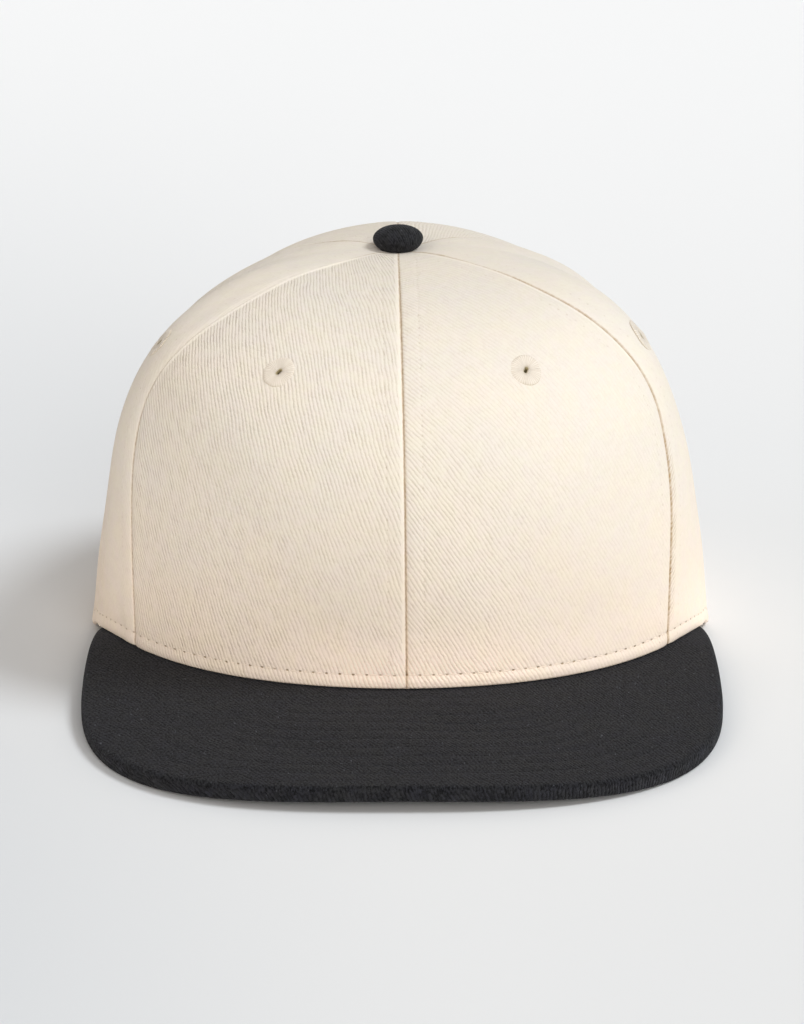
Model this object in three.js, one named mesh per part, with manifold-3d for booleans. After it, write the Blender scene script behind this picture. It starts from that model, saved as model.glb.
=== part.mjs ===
// Flat bill cap: six crown panels, six sewn eyelets, a covered button, a flat bill and a sweatband.
// Millimetres, +Z up, the bill towards -Y. The origin is on the ground, under the middle of the cap.
// Left and right are the wearer's, so left is +X.
import * as THREE from 'three';
import { mergeVertices } from 'three/addons/utils/BufferGeometryUtils.js';
import Module from 'manifold-3d';

const wasm = await Module();
wasm.setup();

// Crown, measured over the outside of the cloth
const CROWN_HALF_WIDTH = 89.6;
const CROWN_FRONT = 87; // from the line between the ears forward to the bill
const CROWN_BACK = 110; // from the same line back to the nape
const CROWN_TOP = 112;
const TOP_BEHIND_EARS = 7; // the button stands this far behind the line between the ears
const FRONT_OVAL = 2.0; // exponent of the front half of the base oval, 2 being an ellipse
const BACK_OVAL = 2.08;
const CROWN_WALL = 1.8;
const TOP_HOLE_RADIUS = 2.8; // the panels' points stop here, round the button's shank

// Gaps between neighbours
const GAP = 0.3;
const SEAM_GAP = 0.3;
const BAND_GAP = 0.6;

// How the crown rises at each bearing, measured round from the centre front.
// roundness is the exponent of the rise, higher being boxier; lean is how far the top leans in.
const RISE = [
  { bearing: 0, roundness: 3.02, lean: -0.02 },
  { bearing: 60, roundness: 3.74, lean: -0.02 },
  { bearing: 90, roundness: 3.02, lean: 0.12 },
  { bearing: 120, roundness: 2.58, lean: 0.12 },
  { bearing: 180, roundness: 2.77, lean: 0.12 },
];

// Bearing of the side seam at each part of the climb from the base (0) to the button (1)
const SIDE_SEAM = [
  { climb: 0, bearing: 57.6 },
  { climb: 0.38, bearing: 58.8 },
  { climb: 0.7, bearing: 49 },
  { climb: 1, bearing: 43 },
];
const BACK_SEAM_BEARING = 115;

// Bill
const BILL_LENGTH = 70; // in front of the crown, along the middle
const BILL_HALF_WIDTH = 89.5;
const BILL_THICKNESS = 4.5;
const BILL_SLOPE = 2; // degrees down towards the front
const BILL_ROOT_HEIGHT = 9.8; // top of the bill under the centre seam, so that its corners rest
const BILL_WIDEST_BEHIND_ROOT = 20; // the widest place lies this far behind the bill's root
const BILL_FRONT_OVAL = 2.8;
const BILL_EDGE_ROUNDING = 1.2;
const BILL_TIP_BEARING = 76;
const BILL_SIDE_SHARE = 0.2; // share of the outline's columns that run down each straight side
const ARCH_AT_TIPS = 3.5; // drop from the middle line to the edge
const ARCH_AT_FRONT = 5.7;
const TIP_FALL = 3.3; // how far the tips bend down over the last part before their ends
const TIP_FALL_LENGTH = 24.5;

// The base edge comes down from just behind the bill's tips and meets the ground here
const DROP_BEARING = 77;
const GROUND_BEARING = 90;

// Sweatband
const BAND_WIDTH = 32;
const BAND_THICKNESS = 1.2;
const BAND_ABOVE_RIM = 0.6;

// Eyelets: a ring outside, a smaller one inside, and the worked hole between them
const EYELET_RADIUS = 4.5;
const EYELET_SHOULDER_RADIUS = 4.1; // where the rim turns into the gentle slope of the ring
const EYELET_CREST_RADIUS = 2.4; // the highest round of the ring
const EYELET_INNER_RING_RADIUS = 3.6;
const EYELET_BARREL_RADIUS = 2.2;
const EYELET_HOLE_RADIUS = 1.0;
const EYELET_SEAT = 0.2; // heights are measured out from the crown's surface
const EYELET_SHOULDER_HEIGHT = 0.75;
const EYELET_CREST_HEIGHT = 1.0;
const EYELET_MOUTH_HEIGHT = 0.45; // where the ring dips into the hole
const EYELET_INNER_RING_THICKNESS = 0.4;
const PANEL_HOLE_RADIUS = 2.6;
const PANEL_DRILL_LENGTH = 9;
const FACET_ALLOWANCE = 0.75; // the wall curves away, and its flat facets stand this far inside it
const EYELETS = [
  { name: 'front', bearing: 28.2, climb: 0.5125 },
  { name: 'side', bearing: 66, climb: 0.5 },
  { name: 'back', bearing: 147, climb: 0.5 },
];

// Button
const BUTTON_RADIUS = 7.5;
const BUTTON_RIM_HEIGHT = 2.7; // the widest place, above the crown
const BUTTON_HEIGHT = 7.3;
const BUTTON_FOOT_RADIUS = 5.6;
const SHANK_RADIUS = 2.4;
const SHANK_LENGTH = 3.4;

// Facets
const PANEL_COLUMNS = 9;
const PANEL_ROWS = 20;
const BILL_COLUMNS = 34;
const BILL_ROWS = 4;
const BAND_COLUMNS = 60;
const BAND_ROWS = 2;
const HOLE_SIDES = 12;
const BUTTON_SIDES = 24;
const BUTTON_DOME_STEPS = 6;
const BUTTON_CURL_STEPS = 2;

// The crown's own middle sits forward or back so that the whole cap is centred on the origin
const EARS_Y = (CROWN_FRONT + BILL_LENGTH - CROWN_BACK) / 2;
const TOP = new THREE.Vector2(0, EARS_Y + TOP_BEHIND_EARS);

const radians = THREE.MathUtils.degToRad;
const mix = THREE.MathUtils.lerp;
const signedPower = (value, power) => Math.sign(value) * Math.abs(value) ** power;

function smooth(value, low, high) {
  return THREE.MathUtils.smoothstep(value, low, high);
}

// Reads one column of a table, running smoothly from each row to the next.
function tabled(rows, key, column, at) {
  let value = rows[0][column];
  for (let i = 1; i < rows.length; i += 1) {
    value += (rows[i][column] - rows[i - 1][column]) * smooth(at, rows[i - 1][key], rows[i][key]);
  }
  return value;
}

// A point of the base oval, with bearings in degrees from the centre front towards +X.
function basePoint(bearing) {
  const sine = Math.sin(radians(bearing));
  const cosine = Math.cos(radians(bearing));
  const oval = cosine > 0 ? FRONT_OVAL : BACK_OVAL;
  const reach = cosine > 0 ? CROWN_FRONT : CROWN_BACK;
  const x = CROWN_HALF_WIDTH * signedPower(sine, 2 / oval);
  const y = EARS_Y - reach * signedPower(cosine, 2 / oval);
  return new THREE.Vector2(x, y);
}

// The base oval moved inwards by a distance, square to itself.
function insetBasePoint(bearing, distance) {
  const step = 0.5;
  const along = basePoint(bearing + step).sub(basePoint(bearing - step)).normalize();
  return basePoint(bearing).add(new THREE.Vector2(-along.y, along.x).multiplyScalar(distance));
}

const ROOT_Y = EARS_Y - CROWN_FRONT;
const TIP = basePoint(BILL_TIP_BEARING);

// Height of the bill's top face: a gentle slope forward, arched from side to side, its tips bent down.
function billTop(x, y) {
  const drop = (ROOT_Y - y) * Math.tan(radians(BILL_SLOPE));
  const share = THREE.MathUtils.clamp((TIP.y - y) / (TIP.y - ROOT_Y + BILL_LENGTH), 0, 1);
  const arch = mix(ARCH_AT_TIPS, ARCH_AT_FRONT, share);
  const bent = THREE.MathUtils.clamp(1 - (TIP.y - y) / TIP_FALL_LENGTH, 0, 1);
  return BILL_ROOT_HEIGHT - drop - arch * (x / BILL_HALF_WIDTH) ** 2 - TIP_FALL * bent ** 2;
}

// Height of the crown's lower edge: on the bill in front, then down to the ground behind its tips.
function baseHeight(bearing, x, y) {
  const round = Math.abs(bearing);
  if (round <= BILL_TIP_BEARING) return billTop(x, y) + GAP;
  const tipHeight = billTop(TIP.x, TIP.y) + GAP;
  return tipHeight * (1 - smooth(round, DROP_BEARING, GROUND_BEARING));
}

// The share of the climb at which a point lies, from its rise and its reach out from the middle.
function climbTo(rise, out) {
  return Math.atan2(rise, out) / (Math.PI / 2);
}

// The end of a panel's climb, where its point stops short of the button's shank.
function climbForRadius(bearing, radius) {
  const roundness = tabled(RISE, 'bearing', 'roundness', Math.abs(bearing));
  const lean = tabled(RISE, 'bearing', 'lean', Math.abs(bearing));
  const out = radius / basePoint(bearing).distanceTo(TOP) / (1 - lean);
  return climbTo((1 - out ** roundness) ** (1 / roundness), out);
}

// A point on the outside of the crown. climb runs from 0 at the base to 1 under the button, and
// rise and reach lie on the curve rise^n + reach^n = 1, n being the roundness at that bearing.
function crownPoint(bearing, climb) {
  const round = Math.abs(bearing);
  const roundness = tabled(RISE, 'bearing', 'roundness', round);
  const lean = tabled(RISE, 'bearing', 'lean', round);
  const up = Math.sin(climb * Math.PI / 2);
  const across = Math.max(Math.cos(climb * Math.PI / 2), 0);
  const size = (up ** roundness + across ** roundness) ** (1 / roundness);
  const rise = up / size;
  const out = (across / size) * (1 - lean * rise);
  const base = basePoint(bearing);
  const foot = baseHeight(bearing, base.x, base.y);
  return new THREE.Vector3(base.x * out, mix(TOP.y, base.y, out), mix(foot, CROWN_TOP, rise));
}

// The outward direction of the crown's surface, from two short steps along it.
function crownNormal(bearing, climb) {
  const turn = 0.5;
  const step = 0.004;
  const low = Math.max(climb - step, 0);
  const high = Math.min(climb + step, 1);
  const along = crownPoint(bearing + turn, climb).sub(crownPoint(bearing - turn, climb));
  const upwards = crownPoint(bearing, high).sub(crownPoint(bearing, low));
  return along.cross(upwards).normalize();
}

function insideCrown(bearing, climb, depth) {
  return crownPoint(bearing, climb).addScaledVector(crownNormal(bearing, climb), -depth);
}

// Collects triangles over shared points into a geometry.
function geometryOf(points, triangles) {
  const geometry = new THREE.BufferGeometry();
  const flat = points.flatMap((point) => [point.x, point.y, point.z]);
  geometry.setAttribute('position', new THREE.Float32BufferAttribute(flat, 3));
  geometry.setIndex(triangles.flat());
  geometry.computeVertexNormals();
  return geometry;
}

// Carries a closed outline along a row of places. Ends are capped unless the row closes on itself.
// The outline runs anticlockwise seen by someone who looks along the row.
function carried(outlines, closed) {
  const size = outlines[0].length;
  const triangles = [];
  const spans = closed ? outlines.length : outlines.length - 1;
  for (let k = 0; k < spans; k += 1) {
    const here = k * size;
    const next = ((k + 1) % outlines.length) * size;
    for (let p = 0; p < size; p += 1) {
      const q = (p + 1) % size;
      triangles.push([here + p, next + q, here + q], [here + p, next + p, next + q]);
    }
  }
  if (!closed) {
    const last = (outlines.length - 1) * size;
    for (let p = 1; p < size / 2; p += 1) {
      const low = [p - 1, p, size - p - 1, size - p];
      triangles.push([low[0], low[1], low[2]], [low[0], low[2], low[3]]);
      triangles.push([last + low[1], last + low[0], last + low[3]]);
      triangles.push([last + low[1], last + low[3], last + low[2]]);
    }
  }
  return geometryOf(outlines.flat(), triangles);
}

// Turns a geometry into a solid that can be cut, and back.
function solidOf(geometry) {
  const bare = geometry.clone();
  bare.deleteAttribute('normal');
  bare.deleteAttribute('uv');
  const merged = mergeVertices(bare, 1e-4);
  const vertProperties = new Float32Array(merged.attributes.position.array);
  const triVerts = new Uint32Array(merged.index.array);
  return new wasm.Manifold(new wasm.Mesh({ numProp: 3, vertProperties, triVerts }));
}

function geometryFromSolid(solid) {
  const mesh = solid.getMesh();
  const geometry = new THREE.BufferGeometry();
  geometry.setAttribute('position', new THREE.BufferAttribute(mesh.vertProperties, 3));
  geometry.setIndex(new THREE.BufferAttribute(mesh.triVerts, 1));
  geometry.computeVertexNormals();
  return geometry;
}

// Cloth finishes
const finishes = {
  naturalTwill: { color: 0xe9dfca, roughness: 0.92, metalness: 0 },
  naturalThread: { color: 0xe4d8bf, roughness: 0.75, metalness: 0 },
  blackTwill: { color: 0x2c2d2f, roughness: 0.9, metalness: 0 },
  bandCotton: { color: 0xded3bb, roughness: 0.95, metalness: 0 },
};

const cap = new THREE.Group();

function addPiece(name, geometry, finish) {
  const piece = new THREE.Mesh(geometry, new THREE.MeshStandardMaterial(finish));
  piece.name = name;
  cap.add(piece);
  return piece;
}

// Where a seam runs: its bearing at each height, on one side of the cap.
const seams = {
  centreFront: () => 0,
  side: (climb) => tabled(SIDE_SEAM, 'climb', 'bearing', climb),
  back: () => BACK_SEAM_BEARING,
  centreBack: () => 180,
};

// The place on the outside of the crown at which an eyelet is worked, facing outwards.
function eyeletPlace(eyelet, side) {
  const place = new THREE.Object3D();
  place.position.copy(crownPoint(side * eyelet.bearing, eyelet.climb));
  const outwards = crownNormal(side * eyelet.bearing, eyelet.climb);
  place.quaternion.setFromUnitVectors(new THREE.Vector3(0, 1, 0), outwards);
  place.updateMatrix();
  return place;
}

// One crown panel between two seams, a wall of even thickness with its eyelet's hole.
function panelGeometry(fromSeam, toSeam, side, eyelet) {
  const edges = side > 0 ? [fromSeam, toSeam] : [toSeam, fromSeam];
  const bearingAt = (climb, share) => {
    const first = side * edges[0](climb);
    const last = side * edges[1](climb);
    const edge = crownPoint(first, climb);
    const reach = Math.max(Math.hypot(edge.x, edge.y - TOP.y), TOP_HOLE_RADIUS);
    const halfGap = THREE.MathUtils.radToDeg(SEAM_GAP / 2 / reach);
    return mix(first + halfGap, last - halfGap, share);
  };
  const outlines = [];
  for (let column = 0; column <= PANEL_COLUMNS; column += 1) {
    const share = column / PANEL_COLUMNS;
    const top = climbForRadius(bearingAt(1, share), TOP_HOLE_RADIUS);
    const outside = [];
    const inside = [];
    for (let row = 0; row <= PANEL_ROWS; row += 1) {
      const climb = (row / PANEL_ROWS) * top;
      const bearing = bearingAt(climb, share);
      const inner = insideCrown(bearing, climb, CROWN_WALL);
      if (row === 0) inner.z = baseHeight(bearing, inner.x, inner.y);
      outside.push(crownPoint(bearing, climb));
      inside.unshift(inner);
    }
    outlines.push([...outside, ...inside]);
  }
  const wall = solidOf(carried(outlines, false));
  const radius = PANEL_HOLE_RADIUS;
  const drill = new THREE.CylinderGeometry(radius, radius, PANEL_DRILL_LENGTH, HOLE_SIDES);
  drill.applyMatrix4(eyeletPlace(eyelet, side).matrix);
  return geometryFromSolid(wall.subtract(solidOf(drill)));
}

// Turns a profile of radius and height round the upright axis.
function turned(profile, sides) {
  return new THREE.LatheGeometry(profile.map(([radius, height]) => new THREE.Vector2(radius, height)), sides);
}

// An eyelet: a domed ring outside, a flat ring inside, and the barrel between them.
function eyeletGeometry() {
  const inside = -CROWN_WALL - FACET_ALLOWANCE - GAP;
  const innermost = inside - EYELET_INNER_RING_THICKNESS;
  const profile = [
    [EYELET_HOLE_RADIUS, innermost],
    [EYELET_INNER_RING_RADIUS, innermost],
    [EYELET_INNER_RING_RADIUS, inside],
    [EYELET_BARREL_RADIUS, inside],
    [EYELET_BARREL_RADIUS, EYELET_SEAT],
    [EYELET_RADIUS, EYELET_SEAT],
    [EYELET_SHOULDER_RADIUS, EYELET_SHOULDER_HEIGHT],
    [EYELET_CREST_RADIUS, EYELET_CREST_HEIGHT],
    [EYELET_HOLE_RADIUS, EYELET_MOUTH_HEIGHT],
    [EYELET_HOLE_RADIUS, innermost],
  ];
  return turned(profile, HOLE_SIDES);
}

// The button: a domed cover that curls in under its rim, on a shank through the top of the crown.
// The curl and the dome are quarter ovals that meet at the rim.
function buttonGeometry() {
  const profile = [[0, -SHANK_LENGTH], [SHANK_RADIUS, -SHANK_LENGTH], [SHANK_RADIUS, GAP]];
  for (let step = 0; step < BUTTON_CURL_STEPS; step += 1) {
    const angle = (step / BUTTON_CURL_STEPS) * Math.PI / 2;
    const radius = mix(BUTTON_FOOT_RADIUS, BUTTON_RADIUS, Math.sin(angle));
    profile.push([radius, mix(BUTTON_RIM_HEIGHT, GAP, Math.cos(angle))]);
  }
  for (let step = 0; step < BUTTON_DOME_STEPS; step += 1) {
    const angle = (step / BUTTON_DOME_STEPS) * Math.PI / 2;
    const height = mix(BUTTON_RIM_HEIGHT, BUTTON_HEIGHT, Math.sin(angle));
    profile.push([BUTTON_RADIUS * Math.cos(angle), height]);
  }
  profile.push([0, BUTTON_HEIGHT]);
  return turned(profile, BUTTON_SIDES);
}

// The bill's outer outline seen from above, for places from -1 at the right tip to 1 at the left.
function billOutline(place) {
  const front = 1 - BILL_SIDE_SHARE;
  const widestY = ROOT_Y + BILL_WIDEST_BEHIND_ROOT;
  if (Math.abs(place) <= front) {
    const turn = (place / front) * Math.PI / 2;
    const x = BILL_HALF_WIDTH * signedPower(Math.sin(turn), 2 / BILL_FRONT_OVAL);
    const reach = BILL_LENGTH + BILL_WIDEST_BEHIND_ROOT;
    const cosine = Math.max(Math.cos(turn), 0);
    return new THREE.Vector2(x, widestY - reach * cosine ** (2 / BILL_FRONT_OVAL));
  }
  const along = (Math.abs(place) - front) / BILL_SIDE_SHARE;
  const x = BILL_HALF_WIDTH - (BILL_HALF_WIDTH - TIP.x) * along ** 2;
  return new THREE.Vector2(Math.sign(place) * x, mix(widestY, TIP.y, along));
}

// The bill: one stiff, cloth-covered plate. It reaches in under the crown's wall and the sweatband.
function billGeometry() {
  const outlines = [];
  const underWall = CROWN_WALL + BAND_GAP + BAND_THICKNESS;
  for (let column = 0; column <= BILL_COLUMNS; column += 1) {
    const place = mix(-1, 1, column / BILL_COLUMNS);
    const root = insetBasePoint(place * BILL_TIP_BEARING, underWall);
    const edge = billOutline(place);
    const brink = edge.clone().add(root.clone().sub(edge).setLength(BILL_EDGE_ROUNDING));
    const top = [];
    const bottom = [];
    for (let row = 0; row <= BILL_ROWS; row += 1) {
      const spot = root.clone().lerp(brink, row / BILL_ROWS);
      const height = billTop(spot.x, spot.y);
      top.push(new THREE.Vector3(spot.x, spot.y, height));
      bottom.unshift(new THREE.Vector3(spot.x, spot.y, height - BILL_THICKNESS));
    }
    const rim = billTop(edge.x, edge.y);
    const upper = new THREE.Vector3(edge.x, edge.y, rim - BILL_EDGE_ROUNDING);
    const lower = new THREE.Vector3(edge.x, edge.y, rim - BILL_THICKNESS + BILL_EDGE_ROUNDING);
    outlines.push([...top, upper, lower, ...bottom].reverse());
  }
  return carried(outlines, false);
}

// The sweatband: a closed ribbon inside the wall, its lower edge just above the bill and the rim.
function bandGeometry() {
  const outlines = [];
  for (let column = 0; column < BAND_COLUMNS; column += 1) {
    const bearing = mix(-180, 180, column / BAND_COLUMNS);
    const roundness = tabled(RISE, 'bearing', 'roundness', Math.abs(bearing));
    const foot = crownPoint(bearing, 0).z;
    const outside = [];
    const inside = [];
    for (let row = 0; row <= BAND_ROWS; row += 1) {
      const rise = (BAND_WIDTH * row / BAND_ROWS) / (CROWN_TOP - foot);
      const climb = climbTo(rise, (1 - rise ** roundness) ** (1 / roundness));
      const outer = insideCrown(bearing, climb, CROWN_WALL + BAND_GAP);
      const inner = insideCrown(bearing, climb, CROWN_WALL + BAND_GAP + BAND_THICKNESS);
      if (row === 0) {
        const behindTips = smooth(Math.abs(bearing), DROP_BEARING, GROUND_BEARING);
        outer.z = baseHeight(bearing, outer.x, outer.y) + BAND_ABOVE_RIM * behindTips;
        inner.z = baseHeight(bearing, inner.x, inner.y) + BAND_ABOVE_RIM * behindTips;
      }
      outside.push(outer);
      inside.unshift(inner);
    }
    outlines.push([...outside, ...inside]);
  }
  return carried(outlines, true);
}

const panels = [
  { name: 'front', from: seams.centreFront, to: seams.side },
  { name: 'side', from: seams.side, to: seams.back },
  { name: 'back', from: seams.back, to: seams.centreBack },
];
const sides = [{ name: 'left', sign: 1 }, { name: 'right', sign: -1 }];

for (const side of sides) {
  panels.forEach((panel, i) => {
    const eyelet = EYELETS[i];
    const cloth = panelGeometry(panel.from, panel.to, side.sign, eyelet);
    addPiece(`crown_${panel.name}_${side.name}`, cloth, finishes.naturalTwill);
    const place = eyeletPlace(eyelet, side.sign);
    const ring = addPiece(`eyelet_${eyelet.name}_${side.name}`, eyeletGeometry(), finishes.naturalThread);
    ring.position.copy(place.position);
    ring.quaternion.copy(place.quaternion);
  });
}

const button = addPiece('top_button', buttonGeometry(), finishes.blackTwill);
button.rotation.x = Math.PI / 2;
button.position.set(TOP.x, TOP.y, CROWN_TOP);

addPiece('bill', billGeometry(), finishes.blackTwill);
addPiece('sweatband', bandGeometry(), finishes.bandCotton);

export default cap;
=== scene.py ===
"""The looks of a flat bill cap: six panels of natural cotton twill with topstitched seams, worked
eyelets, a covered button, a flat bill of washed black twill and a plain cotton sweatband.
Shapes are worked out in millimetres; new_piece() puts them into metres."""

import math

import bpy
import numpy as np
from mathutils import Matrix


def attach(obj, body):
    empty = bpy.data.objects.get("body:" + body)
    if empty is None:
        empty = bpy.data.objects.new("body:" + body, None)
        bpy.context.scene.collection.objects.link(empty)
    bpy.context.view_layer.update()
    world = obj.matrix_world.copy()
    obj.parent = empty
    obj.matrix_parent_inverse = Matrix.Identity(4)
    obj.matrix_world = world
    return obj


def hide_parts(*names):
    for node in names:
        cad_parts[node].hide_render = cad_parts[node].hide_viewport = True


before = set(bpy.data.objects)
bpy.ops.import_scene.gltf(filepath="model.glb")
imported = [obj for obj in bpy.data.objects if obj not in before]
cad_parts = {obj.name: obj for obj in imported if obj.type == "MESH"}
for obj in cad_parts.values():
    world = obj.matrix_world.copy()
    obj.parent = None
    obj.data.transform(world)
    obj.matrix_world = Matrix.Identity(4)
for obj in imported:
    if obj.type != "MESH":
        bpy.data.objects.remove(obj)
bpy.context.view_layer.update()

MM = 0.001

# Crown, measured over the outside of the cloth, at the frame's sizes
CROWN_HALF_WIDTH = 89.6
CROWN_FRONT = 87.0
CROWN_BACK = 110.0
CROWN_TOP = 112.0
TOP_BEHIND_EARS = 7.0
FRONT_OVAL = 2.0
BACK_OVAL = 2.08
CROWN_WALL = 1.8
TOP_HOLE_RADIUS = 2.8

# How the crown rises at each bearing: (bearing, exponent of the rise) and (bearing, lean inwards)
ROUNDNESS = [(0, 3.02), (60, 3.74), (90, 3.02), (120, 2.58), (180, 2.77)]
LEAN = [(0, -0.02), (60, -0.02), (90, 0.12), (120, 0.12), (180, 0.12)]

# Side seam: (share of the climb, bearing)
SIDE_SEAM = [(0, 57.6), (0.38, 58.8), (0.7, 49), (1, 43)]
BACK_SEAM_BEARING = 115

# Bill
BILL_LENGTH = 70.0
BILL_HALF_WIDTH = 89.5
BILL_THICKNESS = 4.5
BILL_SLOPE = 2.0
BILL_ROOT_HEIGHT = 9.8
BILL_WIDEST_BEHIND_ROOT = 20.0
BILL_FRONT_OVAL = 2.8
BILL_EDGE_ROUNDING = 1.3
BILL_TIP_BEARING = 76
BILL_SIDE_SHARE = 0.2
ARCH_AT_TIPS = 3.5
ARCH_AT_FRONT = 5.7
TIP_FALL = 3.3
TIP_FALL_LENGTH = 24.5
DROP_BEARING = 77
GROUND_BEARING = 90
HEM_ABOVE_BILL = 0.06
BILL_GRID = (64, 300)
BILL_OUTLINE_STEPS = 1500
BILL_SWELL_FROM = (2, 12)  # the bill's unevenness eases in from the edge
BILL_SWELL_AHEAD = (-63, -75)  # and from the crown

# Sweatband
BAND_WIDTH = 32.0
BAND_THICKNESS = 1.2
BAND_GAP = 0.6
BAND_ABOVE_RIM = 0.6
BAND_WEAVE_PITCH = 0.9
BAND_PLAIN_WIDTH = 30.5  # below the rolled edge
BAND_ROLL = 0.35
BAND_RUCKS = 0.08
BAND_FURROW = 0.15  # under the rolled edge
BAND_COLUMNS = 420
BAND_ROWS = 26

# Eyelets: (bearing, share of the climb)
EYELETS = {"front": (28.2, 0.5125), "side": (66, 0.5), "back": (147, 0.5)}
FRONT_EYELETS_SHIFT = 0.4
EYELET_RADIUS = 4.5
EYELET_INNER_RING_RADIUS = 3.6
EYELET_BARREL_RADIUS = 2.1
EYELET_HOLE_RADIUS = 0.48
HOLE_OVAL = 0.34
RING_OVAL = 0.04
EYELET_SLANT = 1.0  # which way the ovals lie, in radians
EYELET_OPENING = 2.4  # half the side of the opening that the rings hide
EYELET_THREADS = 40
EYELET_SEED = 197
EYELET_INNER_GAP = 0.45  # from the cloth's inside to the middle of the inner ring
SIDE_EYELET_FLATNESS = 0.5
EYELET_BOW = 60.0  # the radius on which the crown, and so the ring, bends away
EYELET_WAVES = (2, 3, 5, 9, 13)  # how often the ring's edge wavers in a turn
EYELET_WAVER = 0.8
EYELET_LUMPS = {2: 0.09, 5: 0.06}  # times in a turn, and height

# Button
BUTTON_RADIUS = 7.15
BUTTON_SINKS = 1.8  # how far the button presses the top of the crown down
BUTTON_SINKS_WITHIN = 9.5
BUTTON_RIM_HEIGHT = 3.5
BUTTON_HEIGHT = 7.2
BUTTON_FOOT_RADIUS = 3.6
SHANK_RADIUS = 2.4
SHANK_LENGTH = 3.4
BUTTON_TUCK_DEPTH = 0.16
BUTTON_TUCKS_AT = (1.2, 1.3)  # the middle and reach of the tucks by height
BUTTON_LUMPS = 0.1
BUTTON_SEED = 3
BUTTON_OVAL = 0.012
BUTTON_SIDES = 120
POLE_RADIUS = 0.02  # a turned profile ends here, closed by one small face

# The soft crown leans a little to one side: its top's shift, its roll, where that eases in by height
# and by distance back, and the shift of the centre seam's foot in degrees
TOP_SHIFT = -0.6
ROLL = 0.024
ROLL_HEIGHTS = (80.0, 105.0)
ROLL_PLACES = (-40.0, 0.0)
CENTRE_FOOT_SHIFT = 0.8

# Unevenness of the cloth: (height, length and seed of the waves) over the whole crown, beside its rows
# of stitches and on the bill
CROWN_SWELL = (0.22, 42, 5)
SEWN_SWELL = (0.06, 9, 8)
BILL_SWELL = (0.12, 30, 21)

# Sewing
PANEL_GAP = 0.02
SEAM_DEPTH = 0.5
SEAM_ROUNDING = 0.38
SEAM_SHOULDER = 0.26
SEAM_SHOULDER_WIDTH = 1.5
SEAM_ALLOWANCE = 6.3
SEAM_WELT = 0.1
SEAM_WELT_EDGE = (-1.6, 1.2)  # it ends between these distances from the allowance's edge
ALLOWANCE_THICKNESS = 0.3  # the turned-in edges, seen from inside
ALLOWANCE_STEP = 0.7
ALLOWANCE_HEIGHTS = (1, 3)  # they come out from under the hem between these heights
SIDE_LIP = 0.42  # the front panel rolls up beside its side seam by this much
SIDE_LIP_REACH = 1.8
SIDE_LIP_FROM = (60.0, 88.0)  # it rises between these heights
CENTRE_LIP = 0.09
CENTRE_LIP_REACH = 1.3
SEAM_LINE = 0.34  # half the width of the dark line in a seam
GAPING_SEAM_LINE = 0.7  # the same at the side seam that gapes
GAPING_SIDE_LIP = 0.14  # and the height of the lip there
FAR_OFF = 50.0  # stands in the maps for no seam near
SMOOTH_STRIP = 3.5  # the side seam that doesn't gape counts as this much further off: it has no tucks
CENTRE_LIP_FROM = (2.0, 11.0)  # the centre seam's lip rises between these heights
LIP_SHAPE = (0.42, 0.38)  # where a lip's crest lies and how wide it is, over the lip's reach

# A panel narrows to its top, and its relief eases out with it. Widths at which a seam and its shoulder
# end, width from which they are whole, and (end, whole) of the allowance and of the unevenness
SEAM_ENDS = 8
SHOULDER_ENDS = 20
FULL_SEAM_WIDTH = 42
FULL_BACK_SEAM_WIDTH = 60
SHOULDER_EXTRA_WIDTH = 10
OPEN_WIDTHS = (9, 22)
SWELL_WIDTHS = (8, 40)
SWELL_HEIGHTS = (4, 30)  # and it eases in between these heights over the hem
SEWN_REACH = 3

# How a panel is cut: degrees off square, and 1 or -1 where its first or last edge is the straight one
CLOTH_CUT = {("front", 1): (4.5, 1), ("front", -1): (-6.0, -1)}

# Rows of stitches and the turned edges
SEAM_ROW = 5.0  # the row of stitches runs this far from the seam
SEAM_ROW_SHARE = 0.42  # but no further than this share of the panel's width
SEAM_PITCH = 2.9
SEAM_FURROW = (0.08, 0.55)  # depth and half width of the furrow at the stitches
HEM_ROW = 4.2
HEM_PITCH = 3.8
HEM_FURROW = (0.05, 0.45)
HEM_ROUNDING = 0.85
HEM_BULGE = 0.22
BILL_ROWS = 8
BILL_FIRST_ROW = 10.0
BILL_ROW_STEP = 6.0
BILL_PITCH = 3.5
BILL_ROWS_END = 1.02  # the rows stop this far from the crown's middle, over the crown's reach
BILL_PUFF = 0.09  # the cloth rises this much between the rows
THREAD_RADIUS = 0.17
THREAD_SIDES = 6
THREAD_RINGS = 5
THREAD_TAPER = 0.55  # a stitch's thickness at its ends, over that in its middle
THREAD_SPREAD = (0.9, 1.1)
STITCH_GAP = 0.5  # between one stitch and the next
STITCH_ARCH = 1.1  # how far a stitch's middle rises over its ends, over its radius
STITCH_LEAN = 0.05

# Camera of the photograph, in millimetres and degrees
CAMERA_TARGET = (0.27, -6.5, 43.15)
CAMERA_YAW = -0.35
CAMERA_ELEVATION = 18.0
CAMERA_DISTANCE = 1700.0
CAMERA_LENS = 210.07
CAMERA_SENSOR = 36.0

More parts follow.
